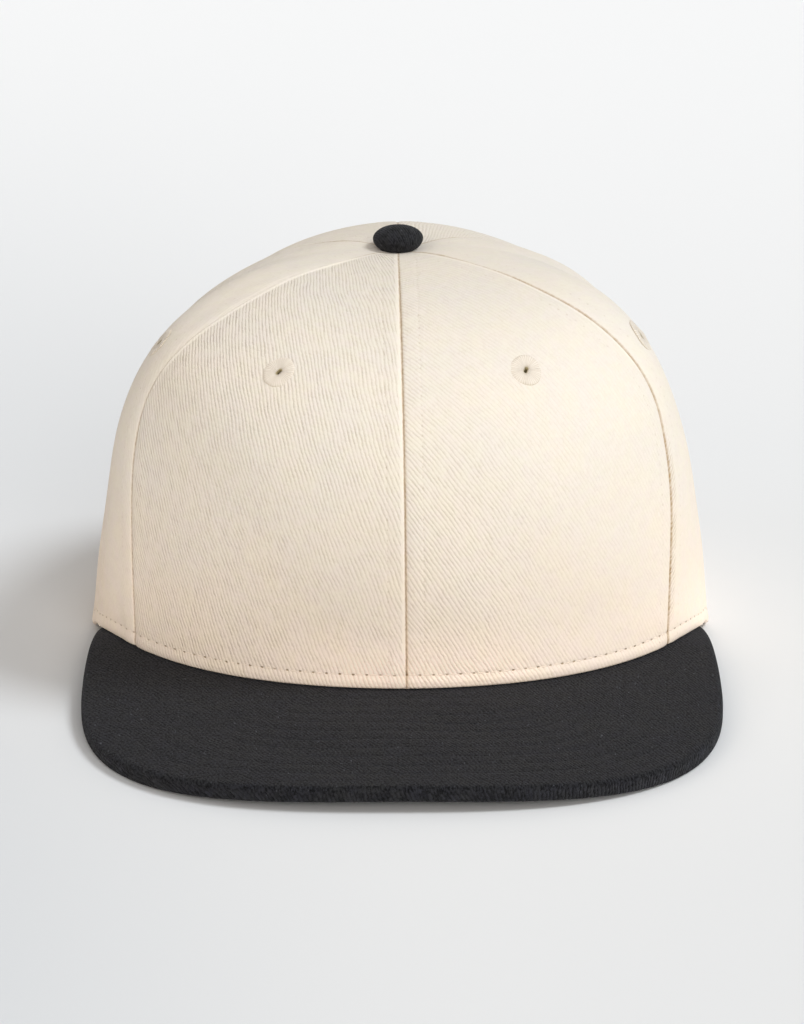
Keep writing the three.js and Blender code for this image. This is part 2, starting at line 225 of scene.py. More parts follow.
# Studio: the floor's colours and size, and the colour and strength of the light from all round
# painted shadow: the floor's near left is darker; painted light: its far part is lighter
FLOOR_NEAR_LEFT_SHADOW = (0.645, 0.66, 0.672, 1)
FLOOR_NEAR = (0.795, 0.793, 0.785, 1)
FLOOR_FAR = (0.92, 0.917, 0.908, 1)
FLOOR_SIDES = (-0.2, 0.03)  # the near colour changes between these, in metres
FLOOR_DEPTHS = (-0.3, 0.9)  # and the near colour gives way to the far one between these
FLOOR_HALF_WIDTH = 5000.0
FLOOR_LEVEL = -0.05
WORLD_LEFT = (0.925, 0.895, 0.87, 1)
WORLD_RIGHT = (0.88, 0.9, 0.92, 1)
WORLD_ZENITH = 0.42
WORLD_HORIZON = 0.77
WORLD_RISE = (0.0, 0.9, 1.0, 0.0)  # the horizon's share, by how far up a ray points
WORLD_SIDES = (-0.8, 0.8)  # the colour changes between these, by how far right a ray points

# Lights: (degrees round from the camera to its right, degrees up, strength, degrees across, colour)
LIGHTS = {
    "key": (86, 52, 1.62, 21, (0.94, 0.985, 1.035)),
    "fill": (-75, 32, 0.17, 30, (1, 0.97, 0.94)),
    "front_right": (13, 19, 1.3, 28, (1, 0.99, 0.975)),
    "front_left": (-42, 18, 0.24, 32, (1, 0.78, 0.6)),
}
LIGHT_DISTANCE = 2000.0

# Painted light and shade, by x in metres, which grows towards the wearer's left: each is (from, to) or
# (from, to, value at from, value at to). The ridges, bumped and with painted shade in their valleys, are
# clearest on the right, where the light rakes across them, and faintest high up on the left, where the
# light washes them out; the hem is painted lighter in the middle of the front.
RIDGES_TO_LEFT = (0.0, 0.06, 1.6, 0.5)
RIDGES_AT_RIGHT = (-0.07, -0.02, 1.2, 1.0)
FADED_HEIGHTS = (0.06, 0.095)
FADED_SIDE = (-0.01, 0.015)
FADED_SHARE = 0.4
RIDGES_BESIDE_SEAM = (14.0, 34.0, 0.3, 1.0)  # by the distance from the side seam in millimetres
HEM_LIGHT_RIGHT = (-0.055, -0.005)
HEM_LIGHT_LEFT = (0.01, 0.055, 1.0, 0.5)
HEM_LIGHT_RISE = (4.0, 22.0, 1.0, 0.0)  # by the distance from the hem in millimetres

# Finish of the cloths
# painted light near the ground fades out by these heights, in metres, on the cloth and on the thread
GROUND_LIGHT_HEIGHT = 0.08
THREAD_GROUND_LIGHT_HEIGHT = 0.1
THREAD_PITCH = 0.35
SHEEN_ROUGHNESS = 0.5
PLAIN_SPECULAR = 0.25
DRIFT = (0.35, 3.0, 0.55)  # scale, detail and roughness of the noises by which the ridges wander
JITTER = (1.1, 2.0, 0.6)
JITTER_SHARE = 1.3
SWAY = (0.06, 1.0, 0.4)
SWAY_SHARE = 5.0
CREST_POWER = 1.15  # above one it narrows the ridges' crests
FLOAT_POWER = 0.5  # below one it squares the floats' ends
FLOAT_DEPTH = 0.4  # how much lower they are there
YARN_SPREAD = 0.35  # how much thicker the thickest yarn stands than the thinnest
YARN_LEAST = 0.7
FLOAT_SHIFT = 0.36  # from one ridge to the next, over the length of a float
TUCK_SLANT = -1.3
TUCK_WANDER = 2.6
LINT_TURN = 0.7  # radians
LINT_STRETCH = 0.35
LIP_SMOOTHNESS = 0.85  # how much of the ridges the lips lose
BOUND_EDGE = (-1.4, 0.4, 1.0, 0.0)  # where the cloth turns over the bill's edge, by the way inwards
EDGE_PLAINNESS = 0.8  # how much of the heather that edge loses
DEEPEST_SHADE = 0.96
FUZZ_SCALE = 4.5
FUZZ_HEIGHT = 0.25
FUZZ_ROUGHNESS = 0.06

EARS_Y = (CROWN_FRONT + BILL_LENGTH - CROWN_BACK) / 2
ROOT_Y = EARS_Y - CROWN_FRONT
TOP_Y = EARS_Y + TOP_BEHIND_EARS


def smooth(value, low, high):
    """0 below low, 1 above high, and 3t^2 - 2t^3 between them."""
    share = np.clip((value - low) / (high - low), 0, 1)
    return share * share * (3 - 2 * share)


def mix(low, high, share):
    """The point a share of the way from low to high."""
    return low + (high - low) * share


def bell(value, middle, width):
    """exp(-((value - middle) / width)^2)."""
    return np.exp(-(((value - middle) / width) ** 2))


def tabled(rows, at):
    """The first row's value, plus each step to the next row eased in between their two places."""
    value = rows[0][1] + 0.0 * at
    for (low, before), (high, after) in zip(rows, rows[1:]):
        value = value + (after - before) * smooth(at, low, high)
    return value


def swell(points, height, length, seed):
    """Height times the mean of eight sine waves of random direction, each about one length long."""
    draw = np.random.default_rng(seed)
    ways = draw.normal(size=(8, 3))
    ways /= np.linalg.norm(ways, axis=1, keepdims=True)
    ways /= length * draw.uniform(0.7, 1.6, (8, 1))
    phases = draw.uniform(0, 2 * math.pi, 8)
    return height * np.sin(2 * math.pi * points @ ways.T + phases).sum(-1) / math.sqrt(8)


def base_point(bearing):
    """The base oval: x and y are powers of the bearing's sine and cosine, scaled to its half axes."""
    sine = np.sin(np.radians(bearing))
    cosine = np.cos(np.radians(bearing))
    oval = np.where(cosine > 0, FRONT_OVAL, BACK_OVAL)
    reach = np.where(cosine > 0, CROWN_FRONT, CROWN_BACK)
    x = CROWN_HALF_WIDTH * np.sign(sine) * np.abs(sine) ** (2 / oval)
    y = EARS_Y - reach * np.sign(cosine) * np.abs(cosine) ** (2 / oval)
    return x, y


TIP_X, TIP_Y = (float(value) for value in base_point(BILL_TIP_BEARING))


def bill_top(x, y):
    """The bill's top: down by the slope's tangent going forward, by an arch of x squared, and near
    the tips by the square of the way along their bend."""
    drop = (ROOT_Y - y) * math.tan(math.radians(BILL_SLOPE))
    share = np.clip((TIP_Y - y) / (TIP_Y - ROOT_Y + BILL_LENGTH), 0, 1)
    arch = mix(ARCH_AT_TIPS, ARCH_AT_FRONT, share)
    bent = np.clip(1 - (TIP_Y - y) / TIP_FALL_LENGTH, 0, 1)
    return BILL_ROOT_HEIGHT - drop - arch * (x / BILL_HALF_WIDTH) ** 2 - TIP_FALL * bent**2


def base_height(bearing, x, y):
    """The crown's lower edge: on the bill in front, then eased down to the ground behind its tips."""
    around = np.abs(bearing)
    tip_height = bill_top(TIP_X, TIP_Y) + HEM_ABOVE_BILL
    behind = tip_height * (1 - smooth(around, DROP_BEARING, GROUND_BEARING))
    return np.where(around <= BILL_TIP_BEARING, bill_top(x, y) + HEM_ABOVE_BILL, behind)


def crown_point(bearing, climb):
    """Rise and reach lie on rise^n + reach^n = 1 in the direction of the climb's quarter turn; the
    point is the base oval's, drawn in to the top by the reach and raised by the rise."""
    around = np.abs(bearing)
    power = tabled(ROUNDNESS, around)
    lean = tabled(LEAN, around)
    up = np.sin(climb * math.pi / 2)
    across = np.maximum(np.cos(climb * math.pi / 2), 0)
    size = (up**power + across**power) ** (1 / power)
    rise = up / size
    out = (across / size) * (1 - lean * rise)
    x, y = base_point(bearing)
    foot = base_height(bearing, x, y)
    return np.stack([x * out, mix(TOP_Y, y, out), mix(foot, CROWN_TOP, rise)], -1)


def crown_normal(bearing, climb):
    """The cross product of two short steps over the crown, one along it and one up it."""
    along = crown_point(bearing + 0.5, climb) - crown_point(bearing - 0.5, climb)
    low = np.maximum(climb - 0.004, 0)
    high = np.minimum(climb + 0.004, 1)
    normal = np.cross(along, crown_point(bearing, high) - crown_point(bearing, low))
    return normal / np.linalg.norm(normal, axis=-1, keepdims=True)


def pressed_down(points):
    """How far the button presses the crown's top down: a bell round the top's middle."""
    away = np.hypot(points[..., 0], points[..., 1] - TOP_Y)
    return BUTTON_SINKS * bell(away, 0, BUTTON_SINKS_WITHIN) * (points[..., 2] > CROWN_TOP / 2)


def leaned(points):
    """The crown's points, shifted sideways by the fourth power of their height, and the top turned a
    little about the front-to-back line by an amount that eases in upwards and backwards."""
    x, y, z = points[..., 0], points[..., 1], points[..., 2]
    raised = z + ROLL * x * smooth(z, *ROLL_HEIGHTS) * smooth(y, *ROLL_PLACES)
    return np.stack([x + TOP_SHIFT * (z / CROWN_TOP) ** 4, y, raised], -1)


def climb_for_radius(bearing, radius):
    """The climb whose reach, along the curve rise^n + reach^n = 1, leaves this radius at the top."""
    power = tabled(ROUNDNESS, np.abs(bearing))
    lean = tabled(LEAN, np.abs(bearing))
    x, y = base_point(bearing)
    out = radius / np.hypot(x, y - TOP_Y) / (1 - lean)
    return np.arctan2((1 - out**power) ** (1 / power), out) / (math.pi / 2)


def steps_along(points, axis):
    """Distance from the first point along one axis of a grid, adding up the steps."""
    steps = np.linalg.norm(np.diff(points, axis=axis), axis=-1)
    start = np.zeros_like(np.take(steps, [0], axis))
    return np.concatenate([start, np.cumsum(steps, axis)], axis)


def read_across(distance, at, *grids):
    """Reads grids in each row at the place where the distance along the row reaches at."""
    rows = np.arange(len(distance))
    after = np.clip((distance < at[:, None]).sum(1), 1, distance.shape[1] - 1)
    low = distance[rows, after - 1]
    share = ((at - low) / (distance[rows, after] - low))[:, None]
    return [mix(grid[rows, after - 1], grid[rows, after], share) for grid in grids]


def grid_quads(cells):
    """Quads over a grid of point numbers, facing someone who sees columns go right and rows up."""
    corners = [cells[:-1, :-1], cells[:-1, 1:], cells[1:, 1:], cells[1:, :-1]]
    return np.stack(corners, -1).reshape(-1, 4)


def border(cells):
    """The point numbers round a block of a grid, anticlockwise."""
    return np.concatenate([cells[0, :-1], cells[:-1, -1], cells[-1, :0:-1], cells[:0:-1, 0]])


def wall_quads(loop, depth):
    """Quads from a loop of outer points to the inner points, which are numbered depth higher."""
    after = np.roll(loop, -1)
    return np.stack([loop, loop + depth, after + depth, after], -1)


def slab_quads(rows, columns, hole):
    """A closed wall: the outer grid, the inner one turned over, the rim, and the hole's own rim.
    hole is the first and last row and column of the block that is left out."""
    cells = np.arange(rows * columns).reshape(rows, columns)
    row, last_row, column, last_column = hole
    there = np.ones((rows - 1, columns - 1), bool)
    there[row:last_row, column:last_column] = False
    outer = grid_quads(cells)[there.ravel()]
    block = cells[row : last_row + 1, column : last_column + 1]
    size = rows * columns
    rims = [wall_quads(border(cells), size), wall_quads(border(block)[::-1], size)]
    return np.concatenate([outer, outer[:, ::-1] + size, *rims])


def new_piece(name, points, faces, material, maps=None):
    """Makes a mesh from points in millimetres and arrays of faces, all faces of an array having as
    many corners. maps names UV maps, each with one value for each point or for each corner."""
    corners = np.concatenate([part.ravel() for part in faces])
    sizes = np.concatenate([np.full(len(part), part.shape[1]) for part in faces])
    mesh = bpy.data.meshes.new(name)
    mesh.vertices.add(len(points))
    mesh.vertices.foreach_set("co", (points * MM).astype(np.float32).ravel())
    mesh.loops.add(len(corners))
    mesh.loops.foreach_set("vertex_index", corners.astype(np.int32))
    mesh.polygons.add(len(sizes))
    mesh.polygons.foreach_set("loop_start", np.append(0, np.cumsum(sizes)[:-1]).astype(np.int32))
    mesh.polygons.foreach_set("use_smooth", np.ones(len(sizes), bool))
    for key, values in (maps or {}).items():
        layer = mesh.uv_layers.new(name=key)
        values = values if len(values) == len(corners) else values[corners]
        layer.uv.foreach_set("vector", values.astype(np.float32).ravel())
    mesh.validate()
    mesh.update()
    mesh.materials.append(material)
    piece = bpy.data.objects.new(name, mesh)
    bpy.context.scene.collection.objects.link(piece)
    return piece


def settle(piece, slot, *nodes):
    """Rides a piece on the cap and hides the solids that it stands for. slot, the finish's name, is not
    used.
    """
    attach(piece, "root")
    if nodes:
        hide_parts(*nodes)


def node(tree, kind, inputs=None, **settings):
    """Adds a node. inputs gives each input a value, or the output that feeds it."""
    made = tree.nodes.new(kind)
    for name, value in settings.items():
        setattr(made, name, value)
    for key, value in (inputs or {}).items():
        if isinstance(value, bpy.types.NodeSocket):
            tree.links.new(value, made.inputs[key])
        else:
            made.inputs[key].default_value = value
    return made


def calc(tree, operation, *values):
    """One step of arithmetic on values or outputs."""
    return node(tree, "ShaderNodeMath", dict(enumerate(values)), operation=operation).outputs[0]


def eased(tree, value, low, high, to_low=0.0, to_high=1.0):
    """Runs smoothly from to_low to to_high while the value goes from low to high."""
    limits = {"Value": value, "From Min": low, "From Max": high, "To Min": to_low, "To Max": to_high}
    return node(tree, "ShaderNodeMapRange", limits, interpolation_type="SMOOTHSTEP").outputs[0]


def noise(tree, vector, scale, detail=2.0, roughness=0.5):
    """Cloudy noise from 0 to 1 with a mean of about a half."""
    inputs = {"Vector": vector, "Scale": scale, "Detail": detail, "Roughness": roughness}
    return node(tree, "ShaderNodeTexNoise", inputs).outputs["Fac"]


def unsteady(tree, vector, scale, detail, roughness):
    """Cloudy noise with a mean of about nothing."""
    return calc(tree, "SUBTRACT", noise(tree, vector, scale, detail, roughness), 0.5)


def arches(tree, value):
    """Half a wave of a sine, from 0 to 1 and back, for each whole number."""
    return calc(tree, "SINE", calc(tree, "MULTIPLY", calc(tree, "FRACT", value), math.pi))


def numbers(tree, vector):
    """The three numbers of a vector."""
    return node(tree, "ShaderNodeSeparateXYZ", {0: vector}).outputs


def piece_map(tree, name):
    """One of the piece's own UV maps."""
    return node(tree, "ShaderNodeUVMap", uv_map=name).outputs[0]


def object_place(tree):
    """The place in metres, from Object coordinates."""
    return node(tree, "ShaderNodeTexCoord").outputs["Object"]


def new_group(name, inputs, outputs):
    """An empty node group with named sockets; gives the group, its input node and its output node."""
    group = bpy.data.node_groups.new(name, "ShaderNodeTree")
    for socket, value in inputs.items():
        kind = "NodeSocketVector" if value is None else "NodeSocketFloat"
        made = group.interface.new_socket(socket, in_out="INPUT", socket_type=kind)
        if value is not None:
            made.default_value = value
    for socket in outputs:
        group.interface.new_socket(socket, in_out="OUTPUT", socket_type="NodeSocketFloat")
    return group, group.nodes.new("NodeGroupInput"), group.nodes.new("NodeGroupOutput")


def use_group(tree, group, inputs):
    """Places a node group in a material and gives its outputs."""
    return node(tree, "ShaderNodeGroup", inputs, node_tree=group).outputs


def twill_group():
    """Diagonal ridges: across them, a sine from 0 to 1 with its valleys narrowed; along them, short
    floats that shift by a third from each ridge to the next. The ridges wander and fade in places.
    Cloth is in millimetres."""
    inputs = {"Cloth": None, "Pitch": 1.1, "Slant": 27.0, "Float": 1.6, "Wander": 0.35}
    group, given, result = new_group("twill_ridges", inputs, ["Height", "Valley", "Yarn"])
    cloth = given.outputs["Cloth"]
    turn = calc(group, "RADIANS", given.outputs["Slant"])
    sine = calc(group, "SINE", turn)
    cosine = calc(group, "COSINE", turn)
    x, y = numbers(group, cloth)[:2]
    across = calc(group, "ADD", calc(group, "MULTIPLY", x, cosine), calc(group, "MULTIPLY", y, sine))
    along = calc(group, "SUBTRACT", calc(group, "MULTIPLY", y, cosine), calc(group, "MULTIPLY", x, sine))
    drift = unsteady(group, cloth, *DRIFT)
    drift = calc(group, "MULTIPLY_ADD", unsteady(group, cloth, *JITTER), JITTER_SHARE, drift)
    drift = calc(group, "MULTIPLY_ADD", unsteady(group, cloth, *SWAY), SWAY_SHARE, drift)
    drift = calc(group, "MULTIPLY", drift, given.outputs["Wander"])
    ridge = calc(group, "DIVIDE", calc(group, "ADD", across, drift), given.outputs["Pitch"])
    number = calc(group, "FLOOR", ridge)
    wave = arches(group, ridge)
    shift = calc(group, "MULTIPLY", number, FLOAT_SHIFT)
    beat = calc(group, "ADD", calc(group, "DIVIDE", along, given.outputs["Float"]), shift)
    beat_number = calc(group, "FLOOR", beat)
    crest = calc(group, "POWER", wave, CREST_POWER)
    body = calc(group, "POWER", arches(group, beat), FLOAT_POWER)
    body = calc(group, "MULTIPLY_ADD", body, FLOAT_DEPTH, 1 - FLOAT_DEPTH)
    place = node(group, "ShaderNodeCombineXYZ", {0: number, 1: beat_number})
    yarn = node(group, "ShaderNodeTexWhiteNoise", {"Vector": place.outputs[0]}).outputs["Value"]
    body = calc(group, "MULTIPLY", body, calc(group, "MULTIPLY_ADD", yarn, YARN_SPREAD, YARN_LEAST))
    stripe = node(group, "ShaderNodeCombineXYZ", {0: number, 1: calc(group, "MULTIPLY", along, 0.16)})
    clear = eased(group, noise(group, stripe.outputs[0], 1.0, 2.0, 0.6), 0.3, 0.66, 0.3, 1.1)
    height = calc(group, "SUBTRACT", calc(group, "MULTIPLY", crest, body), 0.5)
    group.links.new(calc(group, "MULTIPLY_ADD", height, clear, 0.5), result.inputs["Height"])
    valley = calc(group, "MULTIPLY", eased(group, wave, 0.0, 0.8, 1.0, 0.0), clear)
    group.links.new(valley, result.inputs["Valley"])
    group.links.new(yarn, result.inputs["Yarn"])
    return group


def stitch_group():
    """Needle holes one pitch apart on a line at a given distance, and the furrow that the line of
    stitches draws into the cloth. Rows holds the place along the line and the distance from the edge;
    a hole is longer along the line by Stretch, and is as deep as Faint where it fades most."""
    inputs = {"Rows": None, "Line": 5.0, "Pitch": 3.0, "Hole": 0.35, "Furrow": 0.5}
    inputs.update({"Stretch": 1.6, "Faint": 0.5})
    group, given, result = new_group("stitch_line", inputs, ["Holes", "Furrow"])
    place, distance = numbers(group, given.outputs["Rows"])[:2]
    beat = calc(group, "DIVIDE", place, given.outputs["Pitch"])
    beat = calc(group, "SUBTRACT", calc(group, "FRACT", calc(group, "ADD", beat, 0.5)), 0.5)
    along = calc(group, "MULTIPLY", beat, given.outputs["Pitch"])
    along = calc(group, "DIVIDE", along, given.outputs["Stretch"])
    across = calc(group, "SUBTRACT", distance, given.outputs["Line"])
    square = calc(group, "MULTIPLY", along, along)
    square = calc(group, "MULTIPLY_ADD", across, across, square)
    reach = calc(group, "DIVIDE", calc(group, "SQRT", square), given.outputs["Hole"])
    clear = eased(group, noise(group, given.outputs["Rows"], 0.11, 2.0, 0.6), 0.35, 0.6)
    faint = given.outputs["Faint"]
    depth = calc(group, "MULTIPLY_ADD", calc(group, "SUBTRACT", 1.0, faint), clear, faint)
    holes = calc(group, "MULTIPLY", eased(group, reach, 0.4, 1.25, 1.0, 0.0), depth)
    group.links.new(holes, result.inputs["Holes"])
    width = calc(group, "DIVIDE", calc(group, "ABSOLUTE", across), given.outputs["Furrow"])
    group.links.new(eased(group, width, 0.0, 1.0, 1.0, 0.0), result.inputs["Furrow"])
    return group


def pucker_group():
    """Small slanting tucks in a narrow strip beside a seam, and only near the crown's foot. Rows holds
    the place along the seam and the distance from it; Level is the height in metres."""
    inputs = {"Rows": None, "Level": 0.0, "Pitch": 1.7, "Strip": 2.5, "Top": 0.082}
    group, given, result = new_group("seam_puckers", inputs, ["Tucks"])
    place, distance = numbers(group, given.outputs["Rows"])[:2]
    slanted = calc(group, "MULTIPLY_ADD", distance, TUCK_SLANT, place)
    ragged = unsteady(group, given.outputs["Rows"], 0.5, 2.0, 0.6)
    slanted = calc(group, "MULTIPLY_ADD", ragged, TUCK_WANDER, slanted)
    beat = calc(group, "DIVIDE", slanted, given.outputs["Pitch"])
    tuck = calc(group, "POWER", arches(group, beat), 2.0)
    strip = calc(group, "DIVIDE", distance, given.outputs["Strip"])
    inside = eased(group, strip, 0.6, 1.25, 1.0, 0.0)
    low = calc(group, "DIVIDE", given.outputs["Level"], given.outputs["Top"])
    clear = eased(group, noise(group, given.outputs["Rows"], 0.16, 2.0, 0.6), 0.3, 0.6, 0.3, 1.0)
    clear = calc(group, "MULTIPLY", clear, eased(group, low, 0.15, 0.27))
    low = calc(group, "MULTIPLY", clear, eased(group, low, 0.7, 1.0, 1.0, 0.0))
    tucks = calc(group, "MULTIPLY", calc(group, "MULTIPLY", tuck, inside), low)
    group.links.new(tucks, result.inputs["Tucks"])
    return group


def seam_shadow_group():
    """The dark line down in a seam, uneven along it, and a mask of the smooth lip beside it. Rows holds
    the distance from a lip's seam over its reach, and from any seam over the line's half width."""
    inputs = {"Rows": None, "Cloth": None}
    group, given, result = new_group("seam_shadow", inputs, ["Line", "Lip"])
    from_lip, from_seam = numbers(group, given.outputs["Rows"])[:2]
    ragged = unsteady(group, given.outputs["Cloth"], 1.1, 3.0, 0.65)
    away = calc(group, "MULTIPLY_ADD", ragged, 0.9, from_seam)
    patchy = eased(group, noise(group, given.outputs["Cloth"], 0.3, 2.0, 0.6), 0.35, 0.62, 0.55, 1.0)
    line = calc(group, "MULTIPLY", eased(group, away, 0.35, 1.2, 1.0, 0.0), patchy)
    group.links.new(line, result.inputs["Line"])
    lip = calc(group, "MULTIPLY_ADD", ragged, 0.5, from_lip)
    group.links.new(eased(group, lip, 0.7, 1.1, 1.0, 0.0), result.inputs["Lip"])
    return group


def lint_group():
    """Short pale hairs: noise stretched along one way and kept only where it is highest."""
    inputs = {"Cloth": None, "Scale": 1.6, "Rarity": 0.66}
    group, given, result = new_group("lint", inputs, ["Flecks"])
    turned = {"Rotation": (0, 0, LINT_TURN), "Scale": (1, LINT_STRETCH, 1)}
    stretch = node(group, "ShaderNodeMapping", {"Vector": given.outputs["Cloth"], **turned})
    grain = noise(group, stretch.outputs[0], given.outputs["Scale"], 3.0, 0.6)
    rare = given.outputs["Rarity"]
    limits = {"Value": grain, "From Min": rare, "From Max": calc(group, "ADD", rare, 0.1)}
    flecks = node(group, "ShaderNodeMapRange", limits).outputs[0]
    group.links.new(flecks, result.inputs["Flecks"])
    return group


def blend(tree, kind, share, first, second):
    """Mixes two colours, each an output or four numbers."""
    made = node(tree, "ShaderNodeMix", data_type="RGBA", blend_type=kind)
    for place, value in ((0, share), (6, first), (7, second)):
        if isinstance(value, bpy.types.NodeSocket):
            tree.links.new(value, made.inputs[place])
        else:
            made.inputs[place].default_value = value
    return made.outputs[2]


def start_material(name, roughness, sheen, sheen_tint):
    """A node material with one principled shader; gives the material, its tree and the shader."""
    material = bpy.data.materials.new(name)
    material.use_nodes = True
    tree = material.node_tree
    shader = tree.nodes["Principled BSDF"]
    shader.inputs["Roughness"].default_value = roughness
    shader.inputs["Sheen Weight"].default_value = sheen
    shader.inputs["Sheen Roughness"].default_value = SHEEN_ROUGHNESS
    shader.inputs["Sheen Tint"].default_value = sheen_tint
    shader.inputs["Specular IOR Level"].default_value = PLAIN_SPECULAR
    return material, tree, shader


def finish(tree, shader, colour, height, strength, distance):
    """Gives a shader its colour, and the bump of a height that is a distance in millimetres deep."""
    bump = node(tree, "ShaderNodeBump", {"Strength": strength, "Distance": distance * MM, "Height": height})
    tree.links.new(colour, shader.inputs["Base Color"])
    tree.links.new(bump.outputs[0], shader.inputs["Normal"])


def near_ground(tree, reach):
    """A mask that fades upwards from the ground within a reach in metres."""
    return eased(tree, numbers(tree, object_place(tree))[2], 0.0, reach, 1.0, 0.0)


def ridge_lighting(tree):
    """How clear the panels' ridges are, in bump and in the painted shade of their valleys, following the
    light: less towards the wearer's left and at the top there, by Object coordinates, and less on the
    side panels near the front ones, by their distance from the side seam."""
    x, _, height = numbers(tree, object_place(tree))
    clear = calc(tree, "MULTIPLY", eased(tree, x, *RIDGES_TO_LEFT), eased(tree, x, *RIDGES_AT_RIGHT))
    top = calc(tree, "MULTIPLY", eased(tree, height, *FADED_HEIGHTS), eased(tree, x, *FADED_SIDE))
    clear = calc(tree, "MULTIPLY", clear, calc(tree, "MULTIPLY_ADD", top, -FADED_SHARE, 1.0))
    beside = numbers(tree, piece_map(tree, "pucker_rows"))[1]
    return calc(tree, "MULTIPLY", clear, eased(tree, beside, *RIDGES_BESIDE_SEAM))


def painted_hem_light(tree):
    """Painted light on the hem: a mask that fades upwards from the folded lower edge, whole in the middle
    of the front, half as strong towards the wearer's left and nothing towards the right.
    """
    x = numbers(tree, object_place(tree))[0]
    up = numbers(tree, piece_map(tree, "hem_rows"))[1]
    share = calc(tree, "MULTIPLY", eased(tree, x, *HEM_LIGHT_RIGHT), eased(tree, x, *HEM_LIGHT_LEFT))
    return calc(tree, "MULTIPLY", share, eased(tree, up, *HEM_LIGHT_RISE))


def cloth_colour(tree, cloth, look):
    """The colour before the weave: two tones in wide clouds, two tints in smaller blotches, and painted
    light near the ground, which lightens the foot of the crown."""
    clouds = noise(tree, cloth, 0.045, 3.0, 0.55)
    colour = blend(tree, "MIX", eased(tree, clouds, 0.3, 0.7), look["cool"], look["warm"])
    blotch = eased(tree, noise(tree, cloth, 0.19, 2.0, 0.6), 0.36, 0.64)
    blotches = blend(tree, "MIX", blotch, look["blotch"], look["other_blotch"])
    colour = blend(tree, "MULTIPLY", 1.0, colour, blotches)
    return blend(tree, "MULTIPLY", near_ground(tree, GROUND_LIGHT_HEIGHT), colour, look["foot"])


def uneven_yarns(tree, cloth, look):
    """Heathered yarns: fine noise drawn out by the look's stretch, from -1 to 1."""
    drawn_out = node(tree, "ShaderNodeMapping", {"Vector": cloth, "Scale": look["heather_stretch"]})
    grain = noise(tree, drawn_out.outputs[0], look["heather_scale"], 3.0, 0.7)
    return eased(tree, grain, 0.32, 0.68, -1.0, 1.0)


def needle_marks(tree, line, shade, height):
    """Darkens the needle holes of one row of stitches with painted shade, and draws them and the
    thread into the cloth.
    """
    values = {key.title(): line[key] for key in ("line", "pitch", "hole", "furrow", "stretch", "faint")}
    marks = use_group(tree, GROUPS["stitch"], {"Rows": piece_map(tree, line["map"]), **values})
    shade = calc(tree, "MULTIPLY_ADD", marks["Holes"], line["dark"], shade)
    dip = calc(tree, "MULTIPLY_ADD", marks["Furrow"], line["drawn"], marks["Holes"])
    return shade, calc(tree, "MULTIPLY_ADD", dip, -line["depth"], height)


